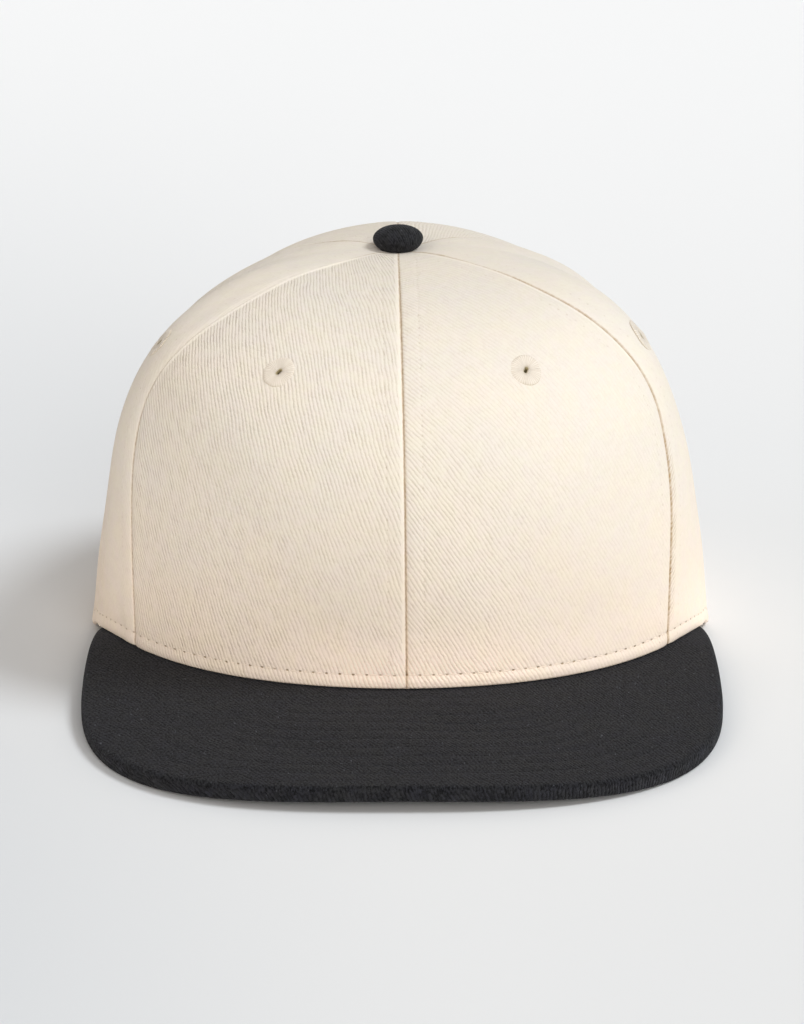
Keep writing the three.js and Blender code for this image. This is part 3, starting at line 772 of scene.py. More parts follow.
def twill_material(name, look, lines, bound=False, seamed=False):
    """A twill cloth. look holds its colours and strengths; lines names the rows of stitches, each
    with its UV map, distance, pitch and hole. The valleys between the ridges and the needle holes get
    painted shade. A bound cloth is painted paler where it turns over the bill's edge, painted light on
    the edge's face, and shows its ridges more there. A seamed one has a painted shadow down in its seams,
    is smooth and painted lighter on the lips beside them, has painted light along its hem, and has small
    tucks with painted shade beside the side seams."""
    material, tree, shader = start_material(name, look["roughness"], look["sheen"], look["sheen_tint"])
    shader.inputs["Specular IOR Level"].default_value = look["specular"]
    cloth = piece_map(tree, "cloth")
    ridges = {"Cloth": cloth, "Pitch": look["pitch"], "Wander": look["wander"]}
    weave = use_group(tree, GROUPS["twill"], ridges)
    valley = weave["Valley"]
    height = weave["Height"]
    heather = uneven_yarns(tree, cloth, look)
    colour = cloth_colour(tree, cloth, look)
    if seamed:
        # painted light: the hem is lightened where the light falls on it
        colour = blend(tree, "MULTIPLY", painted_hem_light(tree), colour, look["hem_painted_light"])
        seam = use_group(tree, GROUPS["seam"], {"Rows": piece_map(tree, "lip_rows"), "Cloth": cloth})
        # painted light: the smooth lips beside the seams are lightened
        colour = blend(tree, "MULTIPLY", seam["Lip"], colour, look["lip_painted_light"])
        clear = calc(tree, "MULTIPLY_ADD", seam["Lip"], -LIP_SMOOTHNESS, 1.0)
        clear = calc(tree, "MULTIPLY", clear, ridge_lighting(tree))
    if bound:
        inwards = numbers(tree, piece_map(tree, "bill_rows"))[1]
        edge = eased(tree, inwards, *BOUND_EDGE)
        clear = calc(tree, "MULTIPLY_ADD", edge, look["edge_ridges"], 1.0)
        # painted light on the face of the bill's edge
        colour = blend(tree, "MULTIPLY", edge, colour, look["edge_painted_light"])
        plain = calc(tree, "MULTIPLY_ADD", edge, -EDGE_PLAINNESS, 1.0)
        heather = calc(tree, "MULTIPLY", heather, plain)
    if seamed or bound:
        valley = calc(tree, "MULTIPLY", valley, clear)
        height = calc(tree, "MULTIPLY", height, clear)
    # painted shade in the ridges' valleys, later also in needle holes, seams and tucks; yarn and heather
    # are the cloth's own tones
    shade = calc(tree, "MULTIPLY", valley, look["valley"])
    shade = calc(tree, "MULTIPLY_ADD", weave["Yarn"], look["yarn"], shade)
    shade = calc(tree, "MULTIPLY_ADD", heather, look["heather"], shade)
    for line in lines:
        shade, height = needle_marks(tree, line, shade, height)
    if seamed:
        shade = calc(tree, "MULTIPLY_ADD", seam["Line"], look["seam_dark"], shade)
        level = numbers(tree, object_place(tree))[2]
        beside = {"Rows": piece_map(tree, "pucker_rows"), "Level": level}
        tucks = use_group(tree, GROUPS["pucker"], beside)["Tucks"]
        shade = calc(tree, "MULTIPLY_ADD", tucks, look["pucker_shade"], shade)
        height = calc(tree, "MULTIPLY_ADD", tucks, -1.0, height)
    shade = calc(tree, "MAXIMUM", calc(tree, "MINIMUM", shade, DEEPEST_SHADE), 0.0)
    colour = blend(tree, "MIX", shade, colour, look["deep"])
    if "flecks" in look:
        fleck = {"Cloth": cloth, "Scale": look["fleck_scale"], "Rarity": look["fleck_rarity"]}
        flecks = use_group(tree, GROUPS["lint"], fleck)["Flecks"]
        colour = blend(tree, "MIX", calc(tree, "MULTIPLY", flecks, look["flecks"]), colour, look["pale"])
    fuzz = noise(tree, cloth, FUZZ_SCALE, 2.0, 0.6)
    roughness = eased(tree, fuzz, 0.2, 0.8, look["roughness"] - FUZZ_ROUGHNESS, 1.0)
    tree.links.new(roughness, shader.inputs["Roughness"])
    finish(tree, shader, colour, calc(tree, "MULTIPLY_ADD", fuzz, FUZZ_HEIGHT, height), 1.0, look["bump"])
    return material


def thread_material(name, colour, shaded, ground_light):
    """Sewing thread: fine ridges across it in a few tones, from Object coordinates, and the same
    painted light near the ground as the cloth.
    """
    material, tree, shader = start_material(name, 0.8, 0.1, (*colour[:3], 1))
    strands = noise(tree, object_place(tree), 1 / (THREAD_PITCH * MM), 2.0, 0.6)
    tone = blend(tree, "MIX", eased(tree, strands, 0.3, 0.7), shaded, colour)
    tone = blend(tree, "MULTIPLY", near_ground(tree, THREAD_GROUND_LIGHT_HEIGHT), tone, ground_light)
    finish(tree, shader, tone, strands, 0.6, 0.05)
    return material


def satin_material(name, colour, shaded, deep):
    """Embroidery laid side by side: stripes across the map's first number, one thread to each, with
    painted shade between the threads, and painted shade down in the hole, a deep colour by the map's
    second number, the height."""
    material, tree, shader = start_material(name, 0.62, 0.25, (*colour[:3], 1))
    thread, height = numbers(tree, piece_map(tree, "strands"))[:2]
    wave = arches(tree, thread)
    number = {"W": calc(tree, "FLOOR", thread)}
    pick = node(tree, "ShaderNodeTexWhiteNoise", number, noise_dimensions="1D").outputs["Value"]
    tone = calc(tree, "MULTIPLY", eased(tree, wave, 0.0, 0.7), calc(tree, "MULTIPLY_ADD", pick, 0.4, 0.6))
    tone = blend(tree, "MIX", tone, shaded, colour)
    hole = eased(tree, height, -0.3, 0.1, 1.0, 0.0)
    finish(tree, shader, blend(tree, "MIX", hole, tone, deep), wave, 0.8, 0.1)
    return material


def plain_weave_material(name, warm, deep):
    """Plain cotton: two sets of fine threads, over and under, on the piece's own map, with painted shade
    where the threads dip and darker clouds of their own.
    """
    material, tree, shader = start_material(name, 0.92, 0.2, (*warm[:3], 1))
    cloth = piece_map(tree, "cloth")
    waves = [
        calc(tree, "SINE", calc(tree, "MULTIPLY", place, 2 * math.pi / BAND_WEAVE_PITCH))
        for place in numbers(tree, cloth)[:2]
    ]
    weave = calc(tree, "MULTIPLY_ADD", calc(tree, "MULTIPLY", *waves), 0.5, 0.5)
    clouds = noise(tree, cloth, 0.08, 3.0, 0.55)
    shade = calc(tree, "MULTIPLY", calc(tree, "SUBTRACT", 1.0, weave), 0.3)
    shade = calc(tree, "MULTIPLY_ADD", clouds, 0.25, shade)
    finish(tree, shader, blend(tree, "MIX", shade, warm, deep), weave, 0.8, 0.12)
    return material


SEAMS = {
    "centre_front": lambda climb: 0.0 * climb,
    "side": lambda climb: tabled(SIDE_SEAM, climb),
    "back": lambda climb: BACK_SEAM_BEARING + 0.0 * climb,
    "centre_back": lambda climb: 180 + 0.0 * climb,
}
PANELS = {"front": ("centre_front", "side"), "side": ("side", "back"), "back": ("back", "centre_back")}

# Grid of a panel: columns close to its seams, fine rows at its hem, wider steps between
NEAR_SEAM = np.array([
    0, 0.1, 0.2, 0.32, 0.46, 0.62, 0.8, 1, 1.25, 1.55, 1.9,
    2.3, 2.75, 3.2, 3.7, 4.2, 4.6, 5, 5.4, 5.8, 6.3, 6.8,
])
FINE_WIDTH = 7.2
NARROW_PANEL = 22.0  # below this width the fine steps shrink with the panel
HEM_STEP = 0.4
HEM_ROWS_HEIGHT = 6.0
WIDE_STEP = 1.25
CURVE_STEPS = 800  # for measuring up a panel's middle
SPAN_STEPS = 60  # and for measuring across it


def panel_bearing(place, side, climb, share):
    """A share of the way between the panel's two seams, each drawn in by half the gap."""
    first, last = (SEAMS[name](climb) for name in PANELS[place])
    low, high = (first, last) if side > 0 else (-last, -first)
    if place == "front":
        shift = CENTRE_FOOT_SHIFT * (1 - climb)
        low, high = (low + shift, high) if side > 0 else (low, high + shift)
    edge = crown_point(low, climb)
    reach = np.maximum(np.hypot(edge[..., 0], edge[..., 1] - TOP_Y), TOP_HOLE_RADIUS)
    half_gap = np.degrees(PANEL_GAP / 2 / reach)
    return mix(low + half_gap, high - half_gap, share)


def eyelet_place(place, side):
    """The bearing and the share of the climb of a panel's eyelet."""
    bearing, climb = EYELETS[place]
    return side * bearing + (FRONT_EYELETS_SHIFT if place == "front" else 0.0), climb


def snapped(places, at):
    """Moves the two nearest places to the two edges of the opening round at; gives their numbers."""
    edges = [int(np.argmin(np.abs(places - at - offset))) for offset in (-EYELET_OPENING, EYELET_OPENING)]
    for edge, offset in zip(edges, (-EYELET_OPENING, EYELET_OPENING)):
        places[edge] = at + offset
    return edges


def panel_grid(place, side):
    """Rows by distance up the panel's middle and columns by distance from its seams; each point is
    the crown's at the bearing a share of the way between the seams. Gives the grid's values."""
    middle = climb_for_radius(panel_bearing(place, side, 1.0, 0.5), TOP_HOLE_RADIUS)
    climbs = np.linspace(0, 1, CURVE_STEPS) * middle
    up = steps_along(crown_point(panel_bearing(place, side, climbs, 0.5), climbs)[:, None], 0)[:, 0]
    wide = np.linspace(HEM_ROWS_HEIGHT, up[-1], int((up[-1] - HEM_ROWS_HEIGHT) / WIDE_STEP))
    rows = np.concatenate([np.arange(0, HEM_ROWS_HEIGHT, HEM_STEP), wide])
    bearing, eyelet_climb = eyelet_place(place, side)
    hole_rows = snapped(rows, np.interp(eyelet_climb, climbs, up))
    level = np.interp(rows, up, climbs / middle)[:, None]
    ends = [panel_bearing(place, side, level * middle, share) for share in (0.0, 1.0)]
    spans = crown_point(mix(*ends, np.linspace(0, 1, SPAN_STEPS)), level * middle)
    width = steps_along(spans, 1)[:, -1:]
    squeeze = np.minimum(1, width / NARROW_PANEL)
    inner = np.linspace(0, 1, int((width.max() - 2 * FINE_WIDTH) / WIDE_STEP))
    eyelet_width = width[hole_rows[0], 0]
    low, high = (float(panel_bearing(place, side, eyelet_climb, share)) for share in (0.0, 1.0))
    eyelet_at = (bearing - low) / (high - low) * eyelet_width
    free = eyelet_width - 2 * FINE_WIDTH
    across = inner * free
    hole_columns = snapped(across, eyelet_at - FINE_WIDTH)
    inner = across / free
    near = NEAR_SEAM * squeeze
    between = FINE_WIDTH * squeeze + (width - 2 * FINE_WIDTH * squeeze) * inner
    share = np.concatenate([near, between, width - near[:, ::-1]], 1) / width
    top = climb_for_radius(panel_bearing(place, side, 1.0, share), TOP_HOLE_RADIUS)
    climb = level * top
    bearings = panel_bearing(place, side, climb, share)
    points = crown_point(bearings, climb)
    first = len(NEAR_SEAM)
    return {
        "bearing": bearings,
        "points": points,
        "normals": crown_normal(bearings, climb),
        "left": steps_along(points, 1),
        "up": steps_along(points, 0),
        "rows": rows,
        "hole": (*hole_rows, first + hole_columns[0], first + hole_columns[1]),
    }


def cloth_map(left, rows, turn, straight):
    """The panel laid flat: x is the distance from its middle; y is the distance up the middle, plus a
    quarter of x squared times the rate at which the panel narrows, because its rows bow upwards and
    the cloth gives way by half of that. A panel with a straight first (1) or last (-1) edge has its
    middle half way between the true one and a line parallel to that edge. Both are then turned by a
    few degrees, as the panel is cut."""
    width = left[:, -1]
    near = width / 2 if straight == 0 else (width + width[0]) / 4
    x = left - (near if straight >= 0 else width - near)[:, None]
    narrowing = -np.gradient(width, rows) / width
    y = rows[:, None] + narrowing[:, None] * x * x / 4
    sine, cosine = math.sin(math.radians(turn)), math.cos(math.radians(turn))
    return np.stack([x * cosine + y * sine, y * cosine - x * sine], -1)


def edge_lips(place, side):
    """For each edge of a panel, the seam's name, how far the cloth rolls up beside it and how wide
    that lip is. The side panel lies lower beside the front one."""
    high = GAPING_SIDE_LIP if side > 0 else SIDE_LIP
    lips = {
        "side": (high if place == "front" else -high / 4, SIDE_LIP_REACH),
        "centre_front": (CENTRE_LIP if side < 0 else 0.0, CENTRE_LIP_REACH),
    }
    no_lip = (0.0, 1.0)
    return [(edge, *lips.get(edge, no_lip)) for edge in PANELS[place][::side]]


def lip_rise(edge, up):
    """How much of a lip there is at a height: all of it from near the hem on at the centre seam, and
    only the upper part at a side seam."""
    return smooth(up, *(SIDE_LIP_FROM if edge == "side" else CENTRE_LIP_FROM))


def lip_map(left, up, lips, side):
    """Distance from the nearest seam with a raised lip, over the lip's reach, and far off where none
    is; and distance from the nearest seam, over the width of the dark line in it."""
    width = left[:, -1:]
    share = np.full_like(left, FAR_OFF)
    away = np.full_like(left, FAR_OFF)
    for (edge, high, reach), distance in zip(lips, (left, width - left)):
        if high > 0:
            share = np.minimum(share, distance / reach + 2 * (1 - lip_rise(edge, up)))
        line = GAPING_SEAM_LINE if edge == "side" and side > 0 else SEAM_LINE
        away = np.minimum(away, distance / line)
    return np.stack([share, away], -1)


def panel_relief(left, up, points, lips):
    """Height of the outside over the crown's plain surface. Near a seam: a narrow and a wide bell
    sunk in, the raised allowance, a furrow at the stitches and the lip that the cloth rolls up in.
    Near the hem: a bulge and the rolled edge."""
    width = left[:, -1:]
    seam = np.minimum(left, width - left)
    open_width = smooth(width, *OPEN_WIDTHS)
    row = np.minimum(SEAM_ROW, SEAM_ROW_SHARE * width)
    height = SEAM_WELT * (1 - smooth(seam - SEAM_ALLOWANCE, *SEAM_WELT_EDGE)) * open_width
    for (edge, high, reach), distance in zip(lips, (left, width - left)):
        full = FULL_BACK_SEAM_WIDTH if edge.endswith("back") else FULL_SEAM_WIDTH
        whole = smooth(width, SHOULDER_ENDS, full + SHOULDER_EXTRA_WIDTH)
        height -= SEAM_DEPTH * bell(distance, 0, SEAM_ROUNDING) * smooth(width, SEAM_ENDS, full)
        height -= SEAM_SHOULDER * bell(distance, 0, SEAM_SHOULDER_WIDTH) * whole
        height += high * bell(distance / reach, *LIP_SHAPE) * open_width * lip_rise(edge, up)
        if edge != "side":
            height -= SEAM_FURROW[0] * bell(distance, row, SEAM_FURROW[1]) * open_width
    height -= HEM_FURROW[0] * bell(up, HEM_ROW, HEM_FURROW[1])
    height += HEM_BULGE * np.sin(math.pi * np.clip(up / HEM_ROW, 0, 1)) ** 2
    height += swell(points, *CROWN_SWELL) * smooth(up, *SWELL_HEIGHTS) * smooth(width, *SWELL_WIDTHS)
    sewn = bell(seam, SEAM_ROW, SEWN_REACH) * open_width + bell(up, HEM_ROW, SEWN_REACH)
    height += swell(points, *SEWN_SWELL) * sewn
    return height - rolled(up)


def rolled(up):
    """How far the folded lower edge falls back: a quarter circle of the hem's rounding."""
    low = np.clip(HEM_ROUNDING - up, 0, HEM_ROUNDING)
    return HEM_ROUNDING - np.sqrt(HEM_ROUNDING**2 - low**2)


def panel_rows(grid, outer):
    """Points and outward directions along the row of stitches beside each seam, read from the first
    edge and from the last one, and along the hem's row."""
    left, normals = grid["left"], grid["normals"]
    width = left[:, -1:]
    at = np.minimum(SEAM_ROW, SEAM_ROW_SHARE * width[:, 0])
    first = read_across(left, at, outer, normals)
    last = read_across((width - left)[:, ::-1], at, outer[:, ::-1], normals[:, ::-1])
    hem_at = np.full(left.shape[1], HEM_ROW)
    hem = read_across(grid["up"].T, hem_at, outer.swapaxes(0, 1), normals.swapaxes(0, 1))
    return [first, last], hem


def panel_maps(place, side, grid, lips, lines, hem):
    """The panel's UV maps: the cloth laid flat, and the place along and the distance from its seams'
    rows of stitches, its hem's row, its tucked seam and its lips."""
    left, up = grid["left"], grid["up"]
    width = left[:, -1:]
    seam = np.minimum(left, width - left)
    seam_along = [steps_along(points[:, None], 0) for points, _ in lines]
    hem_along = steps_along(hem[0][:, None], 0)[:, 0]
    along = np.where(left < width / 2, *seam_along)
    scale = SEAM_ROW / np.minimum(SEAM_ROW, SEAM_ROW_SHARE * width)
    to_side_seam = left if lips[0][0] == "side" else width - left
    smooth_strip = 0.0 if side > 0 else SMOOTH_STRIP
    tucked = to_side_seam + smooth_strip if place == "side" else np.full_like(left, FAR_OFF)
    return {
        "cloth": cloth_map(left, grid["rows"], *CLOTH_CUT.get((place, side), (0.0, 0))),
        "seam_rows": np.stack([along, seam * scale], -1),
        "hem_rows": np.stack([np.broadcast_to(hem_along, left.shape), up], -1),
        "pucker_rows": np.stack([along, tucked], -1),
        "lip_rows": lip_map(left, up, lips, side),
    }


def make_panel(place, side, side_name, material, sewing):
    """One crown panel: the grid pushed out by the relief, and the same grid one wall further in."""
    grid = panel_grid(place, side)
    left, up, normals = grid["left"], grid["up"], grid["normals"]
    width = left[:, -1:]
    seam = np.minimum(left, width - left)
    lips = edge_lips(place, side)
    relief = panel_relief(left, up, grid["points"], lips)
    outer = leaned(grid["points"] + normals * relief[..., None])
    turned_in = 1 - smooth(seam, SEAM_ALLOWANCE, SEAM_ALLOWANCE + ALLOWANCE_STEP)
    turned_in *= smooth(up, *ALLOWANCE_HEIGHTS)
    depth = CROWN_WALL + ALLOWANCE_THICKNESS * turned_in - rolled(up)
    inner = leaned(grid["points"] - normals * depth[..., None])
    for surface in (outer, inner):
        floor = base_height(grid["bearing"], surface[..., 0], surface[..., 1])
        surface[..., 2] = np.maximum(surface[..., 2] - pressed_down(surface), floor)
    lines, hem = panel_rows(grid, outer)
    maps = panel_maps(place, side, grid, lips, lines, hem)
    maps = {key: np.tile(value.reshape(-1, 2), (2, 1)) for key, value in maps.items()}
    points = np.concatenate([outer.reshape(-1, 3), inner.reshape(-1, 3)])
    name = f"{place}_panel_{side_name}"
    piece = new_piece(name, points, [slab_quads(*left.shape, grid["hole"])], material, maps)
    settle(piece, "natural_twill", f"crown_{place}_{side_name}")
    for (edge, _, _), (points, normals) in zip(lips, lines):
        if edge != "side":
            sewing["seams"].append((points, normals, SEAM_PITCH))
    sewing["hem"].append((*hem, HEM_PITCH))
    return piece


def bent_stitches(points, normals, pitch, sunk, seed):
    """Stitches along a line: each runs from one needle hole to the next, a tube of six sides whose
    ends dip into the holes. Its middle's height is a sine, and so is its thickness. sunk is how far
    the whole stitch lies in the cloth, over its radius."""
    draw = np.random.default_rng(seed)
    along = steps_along(points[:, None], 0)[:, 0]
    count = int(along[-1] / pitch)
    starts = np.arange(count) * pitch + STITCH_GAP / 2
    share = np.linspace(0, 1, THREAD_RINGS)
    places = starts[:, None] + (pitch - STITCH_GAP) * share
    where = np.stack([np.interp(places, along, points[:, axis]) for axis in range(3)], -1)
    facing = np.stack([np.interp(places, along, normals[:, axis]) for axis in range(3)], -1)
    facing /= np.linalg.norm(facing, axis=-1, keepdims=True)
    heading = where[:, -1:] - where[:, :1]
    heading = heading / np.linalg.norm(heading, axis=-1, keepdims=True)
    sideways = np.cross(heading, facing)
    arch = np.sin(math.pi * share)
    lift = THREAD_RADIUS * (STITCH_ARCH * arch - STITCH_ARCH - sunk)
    lean = draw.normal(0, STITCH_LEAN, (count, 1, 1)) * arch[:, None]
    middle = where + facing * lift[:, None] + sideways * lean
    thick = THREAD_RADIUS * mix(THREAD_TAPER, 1, arch) * draw.uniform(*THREAD_SPREAD, (count, 1))
    turns = np.arange(THREAD_SIDES) * 2 * math.pi / THREAD_SIDES
    ring = sideways[..., None, :] * np.cos(turns)[:, None] + facing[..., None, :] * np.sin(turns)[:, None]
    return middle[:, :, None] + ring * thick[..., None, None]


def stitches_piece(name, groups, material):
    """Joins stitches into one mesh: quads between their rings and a six-sided face at each end."""
    rings = np.concatenate(groups)
    count, length, sides = rings.shape[:3]
    cells = np.arange(length * sides).reshape(length, sides)
    cells = np.concatenate([cells, cells[:, :1]], 1)
    quads = grid_quads(cells.T)
    caps = np.stack([cells[0, :-1], cells[-1, -2::-1]])
    start = np.arange(count)[:, None, None] * length * sides
    faces = [(quads + start).reshape(-1, 4), (caps + start).reshape(-1, sides)]
    return new_piece(name, rings.reshape(-1, 3), faces, material)


def turned_quads(rows, columns):
    """Quads over a profile turned right round, its points in rows and the turn in columns."""
    cells = np.arange(rows * columns).reshape(rows, columns)
    return grid_quads(np.concatenate([cells, cells[:, :1]], 1))


def eyelet_profile(place):
    """Radius and height, from the inner ring's hole over the inner ring, up the barrel, over the outer
    ring and down into the hole. The outer ring of a side eyelet is flatter."""
    inside = -CROWN_WALL - EYELET_INNER_GAP
    inner_ring = np.array([
        (0.55, inside - 0.35), (0.75, inside - 0.5), (0.95, inside - 0.45), (1.0, inside - 0.1),
        (1.0, inside + 0.1),
    ])
    barrel = np.array([(1, inside + 0.15), (1, inside + 0.6), (1, -0.5), (1, -0.12)])
    outer_ring = np.array([
        (1.04, -0.14), (1.02, -0.02), (0.95, 0.15), (0.82, 0.23), (0.66, 0.2), (0.46, 0.2),
        (0.3, 0.12), (0.18, -0.06), (0.12, -0.4), (0.1, inside + 0.2),
    ])
    profile = np.concatenate([
        inner_ring * [EYELET_INNER_RING_RADIUS, 1],
        barrel * [EYELET_BARREL_RADIUS, 1],
        outer_ring * [EYELET_RADIUS, 1],
        [(EYELET_HOLE_RADIUS, inside - 0.3)],
    ])
    if place == "side":
        profile[:, 1] *= np.where(profile[:, 1] > 0, SIDE_EYELET_FLATNESS, 1)
    return profile[:, :1], profile[:, 1:]


def make_eyelet(place, side, side_name, material):
    """A worked eyelet: a profile turned about the outward direction, with a ridge for each thread
    laid round it. The ring's edge wavers a little by a sum of cosines of the turn, the hole is drawn
    into an oval, and the ring bends away with the crown by the square of its radius."""
    bearing, climb = (np.array(value, float) for value in eyelet_place(place, side))
    centre = crown_point(bearing, climb)
    cloth_height = swell(centre, *CROWN_SWELL)
    outwards = crown_normal(bearing, climb)
    right = np.cross([0, 0, 1], outwards)
    right /= np.linalg.norm(right)
    upward = np.cross(outwards, right)
    turn = np.linspace(0, 2 * math.pi, EYELET_THREADS * 4, endpoint=False)
    radius, height = eyelet_profile(place)
    draw = np.random.default_rng(EYELET_SEED + 5 * list(PANELS).index(place) + (side > 0))
    waver = sum(
        draw.normal(0, EYELET_WAVER / beat) * np.cos(beat * turn + draw.uniform(0, 6))
        for beat in EYELET_WAVES
    )
    ridge = 0.5 + 0.5 * np.cos(EYELET_THREADS * turn)
    shown = smooth(radius, 1.1, 2.2) * (height > 0.05)
    lumps = sum(high * np.cos(beat * turn + draw.uniform(0, 6)) for beat, high in EYELET_LUMPS.items())
    bulge = (0.04 * ridge + lumps) * shown
    slanting = np.cos(2 * (turn - EYELET_SLANT))
    oval = 1 + HOLE_OVAL * slanting * (1 - smooth(radius, 0.8, 2.4)) + RING_OVAL * slanting
    radii = radius * oval + waver * smooth(radius, 3.0, 4.2) * 0.5 + 0.05 * ridge * (radius > 4)
    bowed = height + bulge - radii**2 / (2 * EYELET_BOW) * (height > -0.3)
    points = leaned(
        centre
        + radii[..., None] * (np.cos(turn)[:, None] * right + np.sin(turn)[:, None] * upward)
        + (bowed + cloth_height)[..., None] * outwards
    )
    rows = len(radius)
    cells = turned_quads(rows, len(turn))
    first = np.arange(len(turn))
    last = first + (rows - 1) * len(turn)
    lip = np.stack([last, np.roll(last, -1), np.roll(first, -1), first], -1)
    strands = np.broadcast_to(turn / (2 * math.pi) * EYELET_THREADS, radii.shape)
    strands = np.stack([strands, np.broadcast_to(height, radii.shape)], -1)
    name = f"{place}_eyelet_{side_name}"
    maps = {"strands": strands.reshape(-1, 2)}
    piece = new_piece(name, points.reshape(-1, 3), [cells, lip], material, maps)
    settle(piece, "natural_thread", f"eyelet_{place}_{side_name}")
    return piece


def make_button(material):
    """The button: a profile of foot, curl and dome turned upright, with soft tucks that are deepest
    where the cloth curls under, on a plain shank. The map unrolls the dome from its middle."""
    quarter = np.linspace(0, math.pi / 2, 22)
    dome_radius = BUTTON_RADIUS * np.cos(quarter)
    dome_height = mix(BUTTON_RIM_HEIGHT, BUTTON_HEIGHT, np.sin(quarter))
    curl = quarter[:-1:2]
    curl_radius = mix(BUTTON_FOOT_RADIUS, BUTTON_RADIUS, np.sin(curl))
    curl_height = mix(BUTTON_RIM_HEIGHT, 0.12, np.cos(curl))
    shank_radius = [POLE_RADIUS, SHANK_RADIUS - 0.2, SHANK_RADIUS, SHANK_RADIUS, SHANK_RADIUS + 0.2]
    shank_height = [-SHANK_LENGTH, -SHANK_LENGTH, 0.2 - SHANK_LENGTH, -0.1, 0.1]
    radius = np.concatenate([shank_radius, curl_radius, dome_radius])[:, None]
    radius[-1] = POLE_RADIUS
    height = np.concatenate([shank_height, curl_height, dome_height])[:, None]
    turn = np.linspace(0, 2 * math.pi, BUTTON_SIDES, endpoint=False)
    draw = np.random.default_rng(BUTTON_SEED)
    tucks = np.cos(11 * turn + 0.8 * np.sin(3 * turn + 1)) * 0.5 + np.cos(7 * turn + 2) * 0.5
    under = bell(height, *BUTTON_TUCKS_AT) * smooth(radius, 4.2, 6)
    radii = radius - BUTTON_TUCK_DEPTH * (1 + tucks) * under
    radii = radii * (1 + BUTTON_OVAL * np.cos(2 * turn + draw.uniform(0, 6)) * (radius > 4))
    x = radii * np.cos(turn)
    y = radii * np.sin(turn)
    lumps = BUTTON_LUMPS * np.sin(x * 0.5 + 1) * np.cos(y * 0.6) * smooth(height, 3, 6)
    height = height + lumps - BUTTON_SINKS
    points = leaned(np.stack([x, TOP_Y + y, CROWN_TOP + height * np.ones_like(x)], -1))
    rows = len(radius)
    ends = np.arange(len(turn))
    caps = np.stack([ends[::-1], ends + (rows - 1) * len(turn)])
    reach = steps_along(np.stack([radius[::-1, 0], height[::-1].mean(1)], -1)[:, None], 0)[::-1]
    cloth = np.stack([reach * np.cos(turn), reach * np.sin(turn)], -1)
    faces = [turned_quads(rows, len(turn)), caps]
    maps = {"cloth": cloth.reshape(-1, 2)}
    piece = new_piece("button_cover", points.reshape(-1, 3), faces, material, maps)
    settle(piece, "black_twill", "top_button")
    return piece


def bill_outline(place):
    """The outer edge from tip to tip: a superellipse in front, and a side that curves in by the
    square of the way to the tip."""
    front = 1 - BILL_SIDE_SHARE
    widest_y = ROOT_Y + BILL_WIDEST_BEHIND_ROOT
    turn = np.clip(place / front, -1, 1) * math.pi / 2
    sine = np.sin(turn)
    cosine = np.maximum(np.cos(turn), 0)
    reach = BILL_LENGTH + BILL_WIDEST_BEHIND_ROOT
    x = BILL_HALF_WIDTH * np.sign(sine) * np.abs(sine) ** (2 / BILL_FRONT_OVAL)
    y = widest_y - reach * cosine ** (2 / BILL_FRONT_OVAL)
    along = np.clip((np.abs(place) - front) / BILL_SIDE_SHARE, 0, 1)
    side_x = BILL_HALF_WIDTH - (BILL_HALF_WIDTH - TIP_X) * along**2
    beside = np.abs(place) > front
    x = np.where(beside, np.sign(place) * side_x, x)
    return np.stack([x, np.where(beside, mix(widest_y, TIP_Y, along), y)], -1)


def inset_base(bearing, distance):
    """The base oval moved inwards by a distance, square to itself."""
    x, y = base_point(bearing)
    ahead = np.stack(base_point(bearing + 0.5), -1) - np.stack(base_point(bearing - 0.5), -1)
    ahead /= np.linalg.norm(ahead, axis=-1, keepdims=True)
    return np.stack([x - ahead[..., 1] * distance, y + ahead[..., 0] * distance], -1)


def even_places(curve, count):
    """Places from -1 to 1 that lie evenly by distance along a curve."""
    place = np.linspace(-1, 1, 4001)
    along = steps_along(curve(place)[:, None], 0)[:, 0]
    return np.interp(np.linspace(0, along[-1], count), along, place)


def bill_puff(inwards):
    """Height of the cloth over the bill's plain face: it puffs up between the rows of stitches,
    by one minus the fourth power of a cosine with its zeros half way between the rows."""
    beat = (inwards - BILL_FIRST_ROW) / BILL_ROW_STEP
    rows = smooth(inwards, BILL_FIRST_ROW - 3, BILL_FIRST_ROW)
    puff = 1 - np.cos(math.pi * beat) ** 4
    return BILL_PUFF * mix(1, puff, rows) - BILL_PUFF


def nearest_edge(points, edge):
    """Distance from each point to the nearest point of the outline."""
    return np.concatenate([
        np.sqrt(((block[:, None] - edge[None]) ** 2).sum(-1).min(1))
        for block in np.array_split(points, 1 + len(points) // 2000)
    ])


def rounded_edge():
    """The bill's edge in profile: two quarter circles with a flat band between them. Gives how far
    each row is pushed out and how far it is sunk."""
    quarter = np.linspace(0, math.pi / 2, 7)[1:]
    sink = (1 - np.cos(quarter)) * BILL_EDGE_ROUNDING
    push = np.sin(quarter) * BILL_EDGE_ROUNDING
    band = BILL_THICKNESS - 2 * BILL_EDGE_ROUNDING
    sinks = np.concatenate([sink, sink[-1] + band * np.array([0.33, 0.67]), BILL_THICKNESS - sink[::-1]])
    pushes = np.concatenate([push, np.full(2, BILL_EDGE_ROUNDING), push[::-1]])
    return pushes[:, None, None], sinks[:, None]


def bill_faces(rows, columns):
    """Quads over the top, the edge and the underside, over the two tips, and over the root."""
    cells = np.arange(rows * columns).reshape(rows, columns)
    half = rows // 2
    tips = []
    for column, flip in ((0, -1), (columns - 1, 1)):
        ladder = np.stack([cells[:half, column], cells[rows - half :, column][::-1]], 0)
        tips.append(grid_quads(ladder)[:, ::flip])
    root = grid_quads(np.stack([cells[0], cells[-1]], 0))
    return np.concatenate([grid_quads(cells)[:, ::-1], *tips, root])


